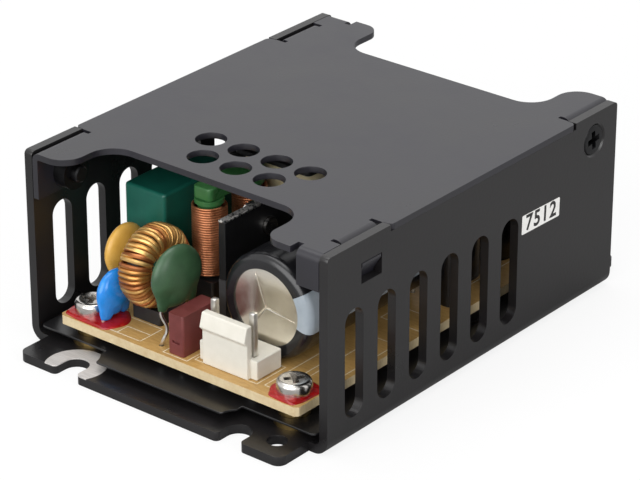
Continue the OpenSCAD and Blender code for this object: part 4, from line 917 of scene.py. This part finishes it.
def studio_floor():
    """Pale paper that glows for the camera, a hair below the part so that the two don't share a plane."""
    glow_share = 0.84
    bpy.ops.mesh.primitive_plane_add(size=6.0, location=(0, 0, -0.04 * MM))
    floor = bpy.context.object
    floor.name = "studio_floor"
    material, tree = new_finish("pale_studio_floor")
    drift = noise(tree, place_of(tree), 60.0)
    camera_ray = add(tree, "LightPath").outputs["Is Camera Ray"]
    tone = blend(tree, camera_ray, ramp(tree, drift, (0.3, grey(0.40)), (0.7, grey(0.42))), grey(0.86))
    paper = add(tree, "BsdfPrincipled", {"Base Color": tone, "Roughness": 0.9,
                                         "Specular IOR Level": 0.1}).outputs[0]
    glow = add(tree, "Emission", {"Color": grey(1.0), "Strength": 1.0}).outputs[0]
    share = calc(tree, "MULTIPLY", camera_ray, glow_share)
    close_finish(tree, add(tree, "MixShader", {0: share, 1: paper, 2: glow}).outputs[0])
    floor.data.materials.append(material)


def studio_air():
    """White surroundings, dimmer as a light than as a thing seen or mirrored."""
    world = bpy.data.worlds.new("studio_air")
    bpy.context.scene.world = world
    world.use_nodes = True
    tree = world.node_tree
    tree.nodes.clear()
    path = add(tree, "LightPath")
    seen = calc(tree, "MAXIMUM", path.outputs["Is Camera Ray"], path.outputs["Is Transmission Ray"])
    seen = calc(tree, "MAXIMUM", seen, path.outputs["Is Glossy Ray"])
    air = add(tree, "Background", {"Color": grey(1.0), "Strength": 0.5}).outputs[0]
    wall = add(tree, "Background", {"Color": grey(1.0), "Strength": 1.0}).outputs[0]
    mixed = add(tree, "MixShader", {0: seen, 1: air, 2: wall}).outputs[0]
    add(tree, "OutputWorld", {"Surface": mixed})


def lamps():
    """Area lights: name, place, aim and size in metres, power in watts."""
    for name, place, aim, size, power in (
            ("key_panel", (0.10, -0.78, 0.38), (0, -0.02, 0.015), (1.0, 0.7), 6.2),
            ("top_panel", (-0.1, 0.05, 0.9), (0, 0, 0.0), (0.8, 0.8), 4.5),
            ("side_panel", (0.85, -0.15, 0.3), (0, 0, 0.015), (0.4, 0.4), 2.2)):
        bpy.ops.object.light_add(type="AREA", location=place)
        lamp = bpy.context.object
        lamp.name = name
        lamp.data.shape = "RECTANGLE"
        lamp.data.size, lamp.data.size_y = size
        lamp.data.energy = power
        lamp.rotation_euler = (Vector(aim) - Vector(place)).to_track_quat("-Z", "Y").to_euler()


def camera():
    """A long lens from the front right, aimed at the middle of the part."""
    target = Vector((-1.245, 0.0, 12.782)) * MM
    azimuth, elevation, distance = math.radians(39.265), math.radians(26.071), 519.27 * MM
    away = Vector((math.sin(azimuth) * math.cos(elevation), -math.cos(azimuth) * math.cos(elevation),
                   math.sin(elevation)))
    bpy.ops.object.camera_add()
    eye = bpy.context.object
    eye.name = "catalogue_camera"
    eye.location = target + away * distance
    eye.rotation_euler = (-away).to_track_quat("-Z", "Y").to_euler()
    eye.data.lens = 176.2
    eye.data.sensor_width = 36.0
    eye.data.clip_start = 0.01
    bpy.context.scene.camera = eye


bpy.context.scene.view_settings.view_transform = "Standard"
studio_floor()
studio_air()
lamps()
camera()
